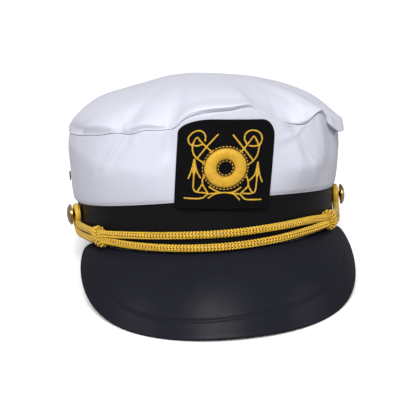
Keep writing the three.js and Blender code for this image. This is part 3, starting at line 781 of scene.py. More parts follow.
def following_tree():
    """Nodes that set a unit at each point of a path, turned to the path and its outward side, over a core."""
    tree = bpy.data.node_groups.new("units_along_a_path", "GeometryNodeTree")
    for name, kind in (("Path", "Geometry"), ("Unit", "Object"), ("Core radius", "Float"),
                       ("Core tone with painted shade", "Float"), ("Unevenness", "Float"), ("Finish", "Material")):
        tree.interface.new_socket(name, in_out="INPUT", socket_type="NodeSocket" + kind)
    tree.interface.new_socket("Geometry", in_out="OUTPUT", socket_type="NodeSocketGeometry")
    given = tree.nodes.new("NodeGroupInput").outputs
    curve = add_node(tree, "GeometryNodeMeshToCurve", {"Mesh": given["Path"]}).outputs[0]
    side = add_node(tree, "GeometryNodeInputNamedAttribute", {"Name": "outward"}, data_type="FLOAT_VECTOR")
    tangent = add_node(tree, "GeometryNodeInputTangent")
    turned = add_node(tree, "FunctionNodeAxesToRotation", {
        "Primary Axis": tangent.outputs[0], "Secondary Axis": side.outputs[0],
    }, primary_axis="Z", secondary_axis="X")
    unit = add_node(tree, "GeometryNodeObjectInfo", {"Object": given["Unit"]})
    low = add_node(tree, "ShaderNodeMath", {0: 1.0, 1: given["Unevenness"]}, operation="SUBTRACT")
    high = add_node(tree, "ShaderNodeMath", {0: 1.0, 1: given["Unevenness"]}, operation="ADD")
    scale = add_node(tree, "FunctionNodeRandomValue", {2: low.outputs[0], 3: high.outputs[0], "Seed": 7},
                     data_type="FLOAT")
    set_down = add_node(tree, "GeometryNodeInstanceOnPoints", {
        "Points": curve, "Instance": unit.outputs["Geometry"], "Rotation": turned.outputs[0],
        "Scale": scale.outputs[1],
    })
    shade = add_node(tree, "FunctionNodeRandomValue", {2: 0.0, 3: 1.0, "Seed": 19}, data_type="FLOAT")
    marked = add_node(tree, "GeometryNodeStoreNamedAttribute", {
        "Geometry": set_down.outputs[0], "Name": "shade", "Value": shade.outputs[1],
    }, data_type="FLOAT", domain="INSTANCE")
    profile = add_node(tree, "GeometryNodeCurvePrimitiveCircle", {
        "Resolution": 10, "Radius": given["Core radius"],
    })
    core = add_node(tree, "GeometryNodeCurveToMesh", {
        "Curve": curve, "Profile Curve": profile.outputs[0], "Fill Caps": True,
    })
    toned = add_node(tree, "GeometryNodeStoreNamedAttribute", {
        "Geometry": core.outputs[0], "Name": "tone", "Value": given["Core tone with painted shade"],
    }, data_type="FLOAT", domain="POINT")
    cored = add_node(tree, "FunctionNodeCompare", {0: given["Core radius"], 1: 1e-6},
                     operation="GREATER_THAN")
    choice = add_node(tree, "GeometryNodeSwitch", {"Switch": cored.outputs[0], "True": toned.outputs[0]},
                      input_type="GEOMETRY")
    joined = add_node(tree, "GeometryNodeJoinGeometry", {"Geometry": choice.outputs[0]})
    tree.links.new(marked.outputs[0], joined.inputs[0])
    real = add_node(tree, "GeometryNodeRealizeInstances", {"Geometry": joined.outputs[0]})
    painted = add_node(tree, "GeometryNodeSetMaterial", {
        "Geometry": real.outputs[0], "Material": given["Finish"],
    })
    add_node(tree, "NodeGroupOutput", {0: painted.outputs[0]})
    return tree


def follow_path(name, paths, unit, finish, core_radius=0.0, core_tone_with_painted_shade=0.0, unevenness=0.0):
    """A mesh of units at the points of paths, each path being (points, outward sides, closed) in metres."""
    tree = bpy.data.node_groups.get("units_along_a_path") or following_tree()
    sockets = {item.name: item.identifier for item in tree.interface.items_tree if item.in_out == "INPUT"}
    points, edges, sides = [], [], []
    for line, out, closed in paths:
        first = len(points)
        points += np.asarray(line).tolist()
        sides += np.asarray(out).tolist()
        edges += [(first + i, first + i + 1) for i in range(len(line) - 1)]
        if closed:
            edges.append((first + len(line) - 1, first))
    mesh = bpy.data.meshes.new(name + "_path")
    mesh.from_pydata(points, edges, [])
    attribute = mesh.attributes.new("outward", "FLOAT_VECTOR", "POINT")
    attribute.data.foreach_set("vector", np.asarray(sides, np.float32).ravel())
    carrier = bpy.data.objects.new(name + "_path", mesh)
    extras = [carrier]
    inputs = {
        "Core radius": core_radius / MM, "Core tone with painted shade": core_tone_with_painted_shade, "Unevenness": unevenness, "Finish": finish,
    }
    if unit:
        inputs["Unit"] = bpy.data.objects.new(name + "_unit", unit)
        extras.append(inputs["Unit"])
    for extra in extras:
        bpy.context.scene.collection.objects.link(extra)
    modifier = carrier.modifiers.new("follow", "NODES")
    modifier.node_group = tree
    for key, value in inputs.items():
        modifier[sockets[key]] = value
    ready = bpy.context.evaluated_depsgraph_get()
    made = bpy.data.meshes.new_from_object(carrier.evaluated_get(ready), preserve_all_data_layers=True,
                                           depsgraph=ready)
    made.name = name
    for extra in extras:
        bpy.data.objects.remove(extra)
    made.shade_smooth()
    return made


def evenly(line, spacing, closed=False):
    """Points along a line at even distances close to the spacing."""
    line = np.asarray(line, float)
    if closed:
        line = np.concatenate([line, line[:1]])
    run = np.concatenate([[0], np.cumsum(np.linalg.norm(np.diff(line, axis=0), axis=1))])
    count = max(2, int(round(run[-1] / spacing)))
    at = np.linspace(0, run[-1], count + 1)
    made = np.stack([np.interp(at, run, line[:, k]) for k in range(line.shape[1])], -1)
    return made[:-1] if closed else made


def strand_paths(line, out, count, radii, twist):
    """Paths side by side round a line of the upright cap, laid down, each with its side facing outwards."""
    line = np.asarray(line, float)
    ahead = np.gradient(line, axis=0)
    ahead /= np.linalg.norm(ahead, axis=1, keepdims=True)
    side = out - (out * ahead).sum(1)[:, None] * ahead
    side /= np.linalg.norm(side, axis=1, keepdims=True)
    across = np.cross(ahead, side)
    run = np.concatenate([[0], np.cumsum(np.linalg.norm(np.diff(line, axis=0), axis=1))])
    paths = []
    for k in range(count):
        turn = (2 * math.pi * k / count + twist * run)[:, None]
        away = np.cos(turn) * side + np.sin(turn) * across
        place = line + radii[0] * np.cos(turn) * side + radii[1] * np.sin(turn) * across
        paths.append((laid_down(place), away @ LAID_MATRIX.T, False))
    return paths


def bead(centre, radii, sides):
    """A closed bead along a line, its first radius along X, and how far along and across its points are."""
    centre, radii = np.asarray(centre, float), np.asarray(radii, float)
    ahead = np.gradient(centre, axis=0)
    ahead /= np.linalg.norm(ahead, axis=1, keepdims=True)
    across = np.cross(ahead, np.array([1.0, 0.0, 0.0]))
    across /= np.linalg.norm(across, axis=1, keepdims=True)
    up = np.cross(across, ahead)
    turn = 2 * math.pi * np.arange(sides) / sides
    inner, count = slice(1, -1), len(centre) - 2
    standing = radii[inner, None, :1] * np.cos(turn)[None, :, None] * up[inner, None]
    lying = radii[inner, None, 1:] * np.sin(turn)[None, :, None] * across[inner, None]
    body = centre[inner, None] + standing + lying
    points = np.concatenate([centre[:1], body.reshape(-1, 3), centre[-1:]])
    after = [(k + 1) % sides for k in range(sides)]
    faces = [[0, 1 + after[k], 1 + k] for k in range(sides)]
    for row in range(count - 1):
        a = 1 + row * sides
        faces += [[a + k, a + after[k], a + sides + after[k], a + sides + k] for k in range(sides)]
    last = 1 + (count - 1) * sides
    faces += [[last + k, last + after[k], len(points) - 1] for k in range(sides)]
    along = np.concatenate([[0], np.repeat(np.arange(1, count + 1) / (count + 1), sides), [1]])
    spread = np.concatenate([[0.5], np.tile(np.abs(turn / math.pi - 1), count), [0.5]])
    return points, faces, along, spread


def unit_mesh(name, beads):
    """One mesh from beads given in millimetres, with its along, across and tone attributes."""
    points, faces, along, across = [], [], [], []
    for made in beads:
        first = len(points)
        points += (made[0] / MM).tolist()
        faces += [[first + i for i in face] for face in made[1]]
        along += list(made[2])
        across += list(made[3])
    mesh = bpy.data.meshes.new(name)
    mesh.from_pydata(points, [], faces, shade_flat=False)
    for key, values in (("along", along), ("across", across), ("tone", [1.0] * len(points))):
        mesh.attributes.new(key, "FLOAT", "POINT").data.foreach_set("value", np.asarray(values, np.float32))
    return mesh


def knit_stitch(columns, pitch, radius):
    """One stitch of a knitted cord: a V of two slanted loops, the cord along Z and its outside at X zero."""
    half = math.pi * radius / columns
    beads = []
    for side in (-1, 1):
        t = np.linspace(0, 1, 6)
        y = side * half * (0.05 + 0.92 * t)
        arch = np.sin(math.pi * np.clip(0.1 + 0.8 * t, 0, 1))
        x = -y * y / (2 * radius) - 0.3 * radius + 0.16 * radius * arch
        swell = np.sin(math.pi * np.clip(0.13 + 0.74 * t, 0, 1)) ** 0.6
        beads.append(bead(np.stack([x, y, 1.08 * pitch * (t - 0.5)], -1),
                          np.stack([0.2 * radius * swell, 0.27 * pitch * swell], -1), 5))
    return beads


def path_outward(points):
    """Directions away from the band's upright axis at points of the upright cap."""
    angle = np.arctan2(points[:, 0] / HALF_WIDTH, -points[:, 1] / HALF_DEPTH)
    return outward(angle)


class SailorCapSettings(bpy.types.PropertyGroup):
    """Sizes and colours of the cap's looks."""

    fold_depth: bpy.props.FloatProperty(
        name="Fold depth", description="Depth of a full fold in the crown",
        default=0.0025, min=0, max=0.006, unit="LENGTH", subtype="DISTANCE")
    rumple: bpy.props.FloatProperty(
        name="Rumple", description="Height of the soft dents in the crown's cloth",
        default=0.0006, min=0, max=0.003, unit="LENGTH", subtype="DISTANCE")
    bulge: bpy.props.FloatProperty(
        name="Side break", description="How far the side panel stands out where it breaks",
        default=FULL_BREAK, min=0, max=0.004, unit="LENGTH", subtype="DISTANCE")
    pucker: bpy.props.FloatProperty(
        name="Pucker", description="Height of the puckers beside the crown's seam",
        default=0.0003, min=0, max=0.001, unit="LENGTH", subtype="DISTANCE")
    seam_roll: bpy.props.FloatProperty(
        name="Seam roll", description="Radius with which each panel turns in at the seam",
        default=0.0006, min=0.0002, max=0.002, unit="LENGTH", subtype="DISTANCE")
    knit_pitch: bpy.props.FloatProperty(
        name="Knit pitch", description="Length of one round of the knitted cord",
        default=0.0021, min=0.001, max=0.005, unit="LENGTH", subtype="DISTANCE")
    stitch_pitch: bpy.props.FloatProperty(
        name="Stitch pitch", description="Distance between two stitches of the embroidery",
        default=0.0008, min=0.0003, max=0.002, unit="LENGTH", subtype="DISTANCE")
    line_width: bpy.props.FloatProperty(
        name="Embroidered line width", description="Width of an embroidered line",
        default=0.00115, min=0.0005, max=0.003, unit="LENGTH", subtype="DISTANCE")
    groove_depth: bpy.props.FloatProperty(
        name="Peak groove depth", description="Depth of the line moulded along the peak",
        default=0.0005, min=0, max=0.001, unit="LENGTH", subtype="DISTANCE")
    satin_color: bpy.props.StringProperty(
        name="Satin", description="Lit colour of the satin, as sRGB hex", default="#BFC0CC")
    satin_shade: bpy.props.StringProperty(
        name="Satin shade", description="Deeper colour in the satin's clouds, as sRGB hex", default="#BABBC7")
    band_color: bpy.props.StringProperty(
        name="Band", description="Colour of the leatherette, as sRGB hex", default="#09090B")
    peak_color: bpy.props.StringProperty(
        name="Peak", description="Colour of the moulded sheet, as sRGB hex", default="#17171D")
    felt_color: bpy.props.StringProperty(
        name="Felt", description="Colour of the badge's felt, as sRGB hex", default="#060607")
    cord_color: bpy.props.StringProperty(
        name="Cord", description="Colour of the cord's yarn, as sRGB hex", default="#DDB424")
    # The deep colour: partly the yarn's own uneven tone, partly painted shade on the cores seen in the cord's
    # gaps
    cord_tone_and_gap_shade: bpy.props.StringProperty(
        name="Cord shade", description="Colour of the yarn deep in the cord, as sRGB hex", default="#6A3603")
    thread_color: bpy.props.StringProperty(
        name="Thread", description="Colour of the embroidery thread, as sRGB hex", default="#D2A51C")
    # The deep colour: partly the thread's own uneven tone, partly painted shade on the ring's pad between the
    # threads
    thread_tone_and_gap_shade: bpy.props.StringProperty(
        name="Thread shade", description="Colour of the thread in its gaps, as sRGB hex", default="#6A3A05")


def crown_angles(count):
    """Angles round the crown, closer together at the front."""
    even = 2 * math.pi * (np.arange(count) / count - 0.5)
    return even - 0.3 * np.sin(even)


def panel_grid(rows):
    """Angle, share, inset and lift of each place in a panel's grid, from the rows' share, inset and lift."""
    share, inset, lift = (np.array(column)[:, None] for column in zip(*rows))
    angle, share = np.broadcast_arrays(crown_angles(CROWN_COLUMNS), share)
    return angle, share, inset, lift


def cloth_relief(base, angle, seed):
    """Soft dents of the cloth, held flat where the stiff badge is sewn on."""
    dents = roughly(base, 36.0, seed) + 0.3 * roughly(base, 13.0, seed + 5)
    return MM * cap_settings().rumple * dents * smoothstep(np.abs(degrees_apart(angle, 1)), 17, 24)


def puckers(angle, height, from_seam, reach, seed):
    """Small puckers of the cloth beside the seam."""
    wave = MM * cap_settings().pucker * roughly(beside(angle, 0.0, 0.3 * height), 3.4, seed)
    return wave * hump(from_seam, reach) * smoothstep(from_seam, 0.0, 1.5)


class SAILORCAP_OT_side_panel(bpy.types.Operator):
    """Builds the crown's side panel from its hem to its seam"""

    bl_idname = "sailor_cap.side_panel"
    bl_label = "Side Panel"

    def execute(self, context):
        cap = cap_settings()
        fold, roll = MM * cap.fold_depth, MM * cap.seam_roll
        edge = CLOTH_WALL / 2
        hem_turn = np.linspace(math.pi / 2, 0, 6)
        rows = [(0.0, edge * (1 - math.cos(t)), edge * (1 - math.sin(t))) for t in hem_turn]
        rows += [(share, 0.0, 0.0) for share in 0.035 + 0.93 * np.linspace(0, 1, 46) ** 0.9]
        rows += [(1.0, roll * (1 - math.cos(t)), -roll * (1 - math.sin(t)))
                 for t in np.linspace(SEAM_OPEN, math.pi / 2, 7)]
        rows += [(1.0, max(roll, CLOTH_WALL) + 0.1, -0.5)]
        rows += [(share, CLOTH_WALL, 0.0) for share in (0.96, *INNER_SHARES)]
        rows += [(0.0, edge * (1 + math.sin(t)), edge * (1 - math.cos(t))) for t in hem_turn[:-1]]
        angle, share, inset, lift = panel_grid(rows)
        arc = angle * MEAN_RADIUS
        panel = seam_height(angle) - hem_height(angle)
        height = share * panel
        base = side_surface(angle, share, 0, fold=fold)
        relief = cloth_relief(base, angle, 11.0) * np.sin(math.pi * np.clip(share, 0.04, 0.96))
        relief -= crease_depth(arc, height, SIDE_CREASES)
        relief += broken(arc, height, panel) * cap.bulge / FULL_BREAK
        eyelet = np.hypot(np.abs(arc) - math.radians(EYELET_ANGLE) * MEAN_RADIUS, (share - EYELET_SHARE) * 50)
        relief *= 1 - hump(eyelet, 8.0)
        relief += puckers(angle, height, (1 - share) * panel, 6.0, 3.0)
        fade = np.where(share == 1, seam_fade(arc), 1)
        points = side_surface(angle, share, inset * fade - relief, lift * fade, fold)
        mesh = grid_mesh("crown_side_panel", points, True, True, lengths=True)
        piece = finished("crown_side_panel", mesh, satin(), "crown_satin", "crown_side")
        # One strip round the cap, cut higher at the front than at the back
        return {"FINISHED"}


class SAILORCAP_OT_top_panel(bpy.types.Operator):
    """Builds the crown's domed top panel from its seam to its highest point"""

    bl_idname = "sailor_cap.top_panel"
    bl_label = "Top Panel"

    def execute(self, context):
        cap = cap_settings()
        fold, roll = MM * cap.fold_depth, MM * cap.seam_roll
        rows = [(share, CLOTH_WALL, 0.0) for share in (1.0, *INNER_SHARES, 0.02)]
        rows += [(0.0, roll * (1 - math.cos(t)), roll * (1 - math.sin(t)))
                 for t in np.linspace(math.pi / 2, SEAM_OPEN, 7)]
        rows += [(share, 0.0, 0.0) for share in 0.012 + 0.988 * np.linspace(0, 1, 62) ** 1.25]
        angle, share, inset, lift = panel_grid(rows)
        arc, climb = angle * MEAN_RADIUS, share * DOME_SLOPE
        base = top_surface(angle, share, 0, fold)
        calm = (1 - smoothstep(share, 0.85, 1.0)) * smoothstep(climb, 0.0, 6.0)
        relief = MM * cap.rumple * (1.2 * roughly(base, 46.0, 23.0) + 0.3 * roughly(base, 15.0, 29.0)) * calm
        relief -= crease_depth(arc, climb, TOP_CREASES)
        stand, hang = tucked(arc, climb)
        relief += stand + puckers(angle, climb, climb, 7.0, 9.0)
        fade = np.where(share == 0, seam_fade(arc), 1)
        points = top_surface(angle, share, inset * fade - relief, fold)
        sunk = np.interp(points[..., 0], SUNK[:, 0], SUNK[:, 1]) * smoothstep(share, 0.0, 0.2)
        points[..., 2] += lift * fade - 0.2 * hump(climb, 3.0) - hang - sunk
        mesh = grid_mesh("crown_top_panel", points, False, True, lengths=True)
        cloth = bpy.data.materials["woven_polyester_satin"]
        piece = finished("crown_top_panel", mesh, cloth, "crown_satin", "crown_top")
        # An oval, eased in round the seam
        return {"FINISHED"}


class SAILORCAP_OT_head_band(bpy.types.Operator):
    """Builds the leatherette head band"""

    bl_idname = "sailor_cap.head_band"
    bl_label = "Head Band"

    def execute(self, context):
        angle = crown_angles(BAND_COLUMNS)
        top = hem_height(angle) + BAND_LAP
        edge = BAND_WALL / 2
        half_turn = np.linspace(0, math.pi, 9)
        # Each row has its distance out, its share of the band's height, its lift, and whether it waves
        rows = [(edge * math.cos(t) - edge, 0, edge * (1 - math.sin(t)), 0) for t in half_turn]
        rows += [(-BAND_WALL, share, 0, 1) for share in np.linspace(0.08, 0.96, 8)]
        rows += [(edge * math.cos(t) - edge, 1, -edge * (1 - math.sin(t)), 0) for t in half_turn[::-1]]
        rows += [(0.0, share, 0, 1) for share in np.linspace(0.96, 0.05, 20)]
        points = []
        for out, share, lift, waves in rows:
            height = top * share + lift
            swell = waves * BAND_WAVE * math.sin(math.pi * share)
            wave = swell * roughly(beside(angle, out, height), BAND_WAVE_SIZE, 41.0)
            ring = beside(angle, out + wave, height)
            ring[:, 2] = np.maximum(ring[:, 2], floor_height(ring[:, 1]))
            points.append(ring)
        mesh = grid_mesh("head_band", np.array(points), True, True)
        finished("head_band", mesh, leatherette(), "band_leatherette", "band")
        return {"FINISHED"}


def floor_height(y):
    """Height at which the floor under the leaning cap passes a place of the upright cap."""
    return (BAND_SETTLE - (HALF_DEPTH - y) * math.sin(TILT)) / math.cos(TILT)


class SAILORCAP_OT_peak(bpy.types.Operator):
    """Builds the moulded peak with the line moulded along its edge"""

    bl_idname = "sailor_cap.peak"
    bl_label = "Peak"

    def execute(self, context):
        depth = MM * cap_settings().groove_depth
        line_fit = np.polyfit(PEAK_LINE[:, 0], PEAK_LINE[:, 1], 4)
        half = PEAK_WALL / 2
        upper = np.linspace(0, 1, FACE_STEPS)
        lip_turn = np.linspace(0, math.pi, LIP_STEPS + 2)[1:-1]
        points = []
        for place in PEAK_END * np.sin(math.pi * (np.arange(PEAK_COLUMNS + 1) / PEAK_COLUMNS - 0.5)):
            end = abs(place)
            angle = PEAK_SPREAD * place
            shape = peak_section(end, np.array([0.0, 1.0]))
            away = (1 - upper) * np.linalg.norm(shape[1] - shape[0])
            # The moulded line ends round on the left and dies away on the right
            strength = smoothstep(place, -0.745, -0.73) * (1 - smoothstep(place, 0.72, 0.84))
            groove = depth * strength * hump(away - np.polyval(line_fit, place), GROOVE_WIDTH)
            rim = RIM_HEIGHT * smoothstep(-away, -2.4, -1.2) * (1 - end**6)
            face = peak_surface(place, upper, groove - rim)
            lip = [
                peak_surface(place, 1.0, half - half * math.cos(t)) + outward(angle) * LIP_BULGE * math.sin(t)
                for t in lip_turn
            ]
            under = peak_surface(place, np.linspace(1, 0, UNDER_STEPS), PEAK_WALL)
            flange = beside(angle, -BAND_WALL, np.array([-CLEARANCE - PEAK_WALL, -CLEARANCE]))
            points.append([*face, *lip, *under, *flange])
        points = np.array(points)
        points = np.concatenate([end_line(points[0])[None], points, end_line(points[-1])[None]])
        mesh = grid_mesh("peak_sheet", points, False, True)
        finished("peak_sheet", mesh, moulded_plastic(), "peak_plastic", "peak")
        return {"FINISHED"}


def end_line(section):
    """The line midway between a section's two faces, which closes the sheet's end."""
    upper, lower, flange = section[:FACE_STEPS], section[FACE_STEPS + LIP_STEPS:-2], section[-2:]
    back = upper[np.round(np.linspace(1, 0, UNDER_STEPS) * (FACE_STEPS - 1)).astype(int)]
    middle = (back + lower) / 2
    shares, under_shares = np.linspace(0, 1, FACE_STEPS), np.linspace(0, 1, UNDER_STEPS)
    front = np.stack([np.interp(shares, under_shares, middle[::-1, k]) for k in range(3)], -1)
    lip = np.repeat(middle[:1], LIP_STEPS, 0)
    return np.concatenate([front, lip, middle, (flange + flange[::-1]) / 2])


def stretch(route, part, spacing):
    """Even points of the cord's closed route between two of its points, counted from its start."""
    taken = np.arange(int(ROUTE_STEPS * part[0]), int(ROUTE_STEPS * part[1]) + 1) % len(route)
    return evenly(route[taken], spacing)


class SAILORCAP_OT_chin_cord(bpy.types.Operator):
    """Builds the chin cord, knitted across the front and ribbed at its ends, and its two knots"""

    bl_idname = "sailor_cap.chin_cord"
    bl_label = "Chin Cord"

    def execute(self, context):
        cap = cap_settings()
        # Rayon yarn, knitted to a round cord: bright gold loops over a core in the deep colour, a duller
        # filler yarn darkened further as painted shade in the gaps between the loops
        finish = gold_yarn("knitted_gold_rayon", cap.cord_color, cap.cord_tone_and_gap_shade, 2, 0.4)
        pitch = MM * cap.knit_pitch
        route = closed_curve(cord_route(), ROUTE_STEPS)
        knitted, fillers, ribs = [], [], []
        for part in KNITTED_PARTS:
            line = stretch(route, part, pitch)
            out = path_outward(line)
            knitted += strand_paths(line, out, KNIT_COLUMNS, (KNIT_RADIUS, KNIT_RADIUS), KNIT_TWIST)
        for part in CORED_PARTS:
            line = stretch(route, part, CORE_PITCH)
            fillers += strand_paths(line, path_outward(line), 1, (0, 0), 0)
        for part in RIBBED_PARTS:
            line = stretch(route, part, RIB_PITCH)
            out = path_outward(line)
            ribs += strand_paths(line - 0.5 * out, out, RIB_COUNT, RIB_RING, RIB_TWIST)
        stitch = unit_mesh("knit_stitch", knit_stitch(KNIT_COLUMNS, pitch, KNIT_RADIUS))
        mesh = follow_path("chin_cord_knit", knitted, stitch, finish)
        finished("chin_cord_knit", mesh, finish, "gold_cord", "chin_cord")
        # The core takes the deep colour: duller filler yarn, and painted shade in the gaps between the loops
        mesh = follow_path("chin_cord_core", fillers, None, finish, CORE_RADIUS, 0.0)
        finished("chin_cord_core", mesh, finish, "gold_cord")
        mesh = follow_path("chin_cord_ribs", ribs, None, finish, RIB_RADIUS, 0.9)
        finished("chin_cord_ribs", mesh, finish, "gold_cord")
        small = unit_mesh("knot_stitch", knit_stitch(KNOT_COLUMNS, KNOT_PITCH, KNOT_YARN))
        for name, row, lean, shift in (
            ("knot_left", FRONT_RUN[0], 0.36, 1.5),
            ("knot_right", FRONT_RUN[-1], 0.12, -2.2),
        ):
            line, out = knot_turns(row, lean, shift)
            wound = strand_paths(line, out, KNOT_COLUMNS, (KNOT_YARN, KNOT_YARN), KNOT_TWIST)
            mesh = follow_path(name + "_turns", wound, small, finish)
            finished(name + "_turns", mesh, finish, "gold_cord", name)
            middle = strand_paths(line, out, 1, (0, 0), 0)
            # The knot's core takes nearly the deep colour, painted shade between the turns
            mesh = follow_path(name + "_core", middle, None, finish, KNOT_CORE, 0.1)
            finished(name + "_core", mesh, finish, "gold_cord")
        return {"FINISHED"}


def knot_turns(row, lean, shift):
    """The path of the cord's two turns round its strands, with the side that faces away from them."""
    angle = math.radians(row[0])
    out = outward(angle)
    up = np.array([0.0, 0.0, 1.0])
    along = np.cross(up, out)
    middle = beside(angle, cord_out(1.0) - 0.6, (row[1] + row[2]) / 2) + shift * along
    points = []
    for t in np.linspace(0, 1, 200):
        turn = 2 * math.pi * KNOT_TURNS * t - math.pi * 0.65
        tucked_in = lerp(0.45, 1, smoothstep(t, 0, 0.1) * smoothstep(1 - t, 0, 0.1))
        flat = 1.9 * math.copysign(min(1, abs(math.cos(turn)) * 2), math.cos(turn))
        high = (flat + 3.1 * math.cos(turn)) * tucked_in
        deep = 3.0 * math.sin(turn) * tucked_in
        points.append(middle + up * high + out * deep + along * ((t - 0.5) * 2.2 * KNOT_TURNS - lean * high))
    line = evenly(points, KNOT_PITCH)
    away = line - middle
    away -= (away @ along)[:, None] * along
    return line, away


class SAILORCAP_OT_buttons(bpy.types.Operator):
    """Builds the two stamped brass buttons on their shanks"""

    bl_idname = "sailor_cap.buttons"
    bl_label = "Buttons"

    def execute(self, context):
        finish = brass("stamped_brass", "#D8BE85", "#8E6C3A", 0.16)
        back = CORD_SEAT + 2 * CORD_RADIUS + CLEARANCE
        profile = [(0, CLEARANCE), (SHANK_RADIUS, CLEARANCE), (SHANK_RADIUS, back)]
        # The rim and the step inside it: share of the radius, height over the back
        profile += [(BUTTON_RADIUS * share, back + high) for share, high in (
            (0.9, 0), (0.97, 0.12), (1, 0.5), (1, 0.8), (0.97, 1.1), (0.93, 1.12), (0.9, 1.05), (0.87, 1.2),
        )]
        foot_radius, foot = profile[-1]
        dome = BUTTON_DOME - (foot - back)
        profile += [(foot_radius * math.cos(t), foot + dome * math.sin(t))
                    for t in np.linspace(0.12, 1, 12) * math.pi / 2]
        for name, run in (("button_left", LEFT_RUN), ("button_right", RIGHT_RUN)):
            angle = math.radians(run[-1][0])
            mesh = turned_mesh(name, profile, 56, beside(angle, 0.0, run[-1][1]), outward(angle))
            finished(name + "_stamped", mesh, finish, "button_brass", name)
        return {"FINISHED"}


def turned_mesh(name, profile, sides, foot, axis, closed=False):
    """A turned mesh on a foot point, with its axis in a direction of the upright cap."""
    turned = Vector((0, 0, 1)).rotation_difference(Vector(axis)).to_matrix()
    turn = 2 * math.pi * np.arange(sides) / sides
    rows = np.array([[(x * math.cos(t), x * math.sin(t), z) for t in turn] for x, z in profile])
    points = rows @ np.array(turned).T + np.asarray(foot)
    return grid_mesh(name, points, closed, True)


class SAILORCAP_OT_eyelets(bpy.types.Operator):
    """Builds the two vent eyelets in the side panel"""

    bl_idname = "sailor_cap.eyelets"
    bl_label = "Eyelets"

    def execute(self, context):
        # The ring is dark grey-brown: partly a darkened finish, partly painted shade round its hole
        finish = brass("rolled_brass_eyelet_with_painted_shade", "#4A4540", "#2E2A28", 0.35)
        dark = shadowed_hole()
        inner = EYELET_HOLE
        roll = (EYELET_RADIUS - inner) / 2
        profile = [(inner + roll + roll * math.cos(t), CLEARANCE + max(math.sin(t), 0))
                   for t in np.linspace(0, math.pi, 13)]
        hole = [(0, 0.12), (inner * 0.98, 0.12), (inner * 0.98, 0.34), (inner * 0.6, 0.3), (0, 0.28)]
        step = 0.02
        for name, side in (("eyelet_left", -1), ("eyelet_right", 1)):
            angle = side * math.radians(EYELET_ANGLE)
            right, left, above, below, middle = (
                side_surface(angle + across, EYELET_SHARE + up, 0.0)
                for across, up in ((step, 0), (-step, 0), (0, step), (0, -step), (0, 0))
            )
            normal = np.cross(right - left, above - below)
            ring = turned_mesh(name, profile, 40, middle, normal, closed=True)
            finished(name + "_ring", ring, finish, "eyelet_metal", name)
            # A dark disc in the hole, painted shade
            shade = turned_mesh(name + "_hole", hole, 24, middle, normal)
            finished(name + "_hole", shade, dark, "eyelet_metal")
        return {"FINISHED"}


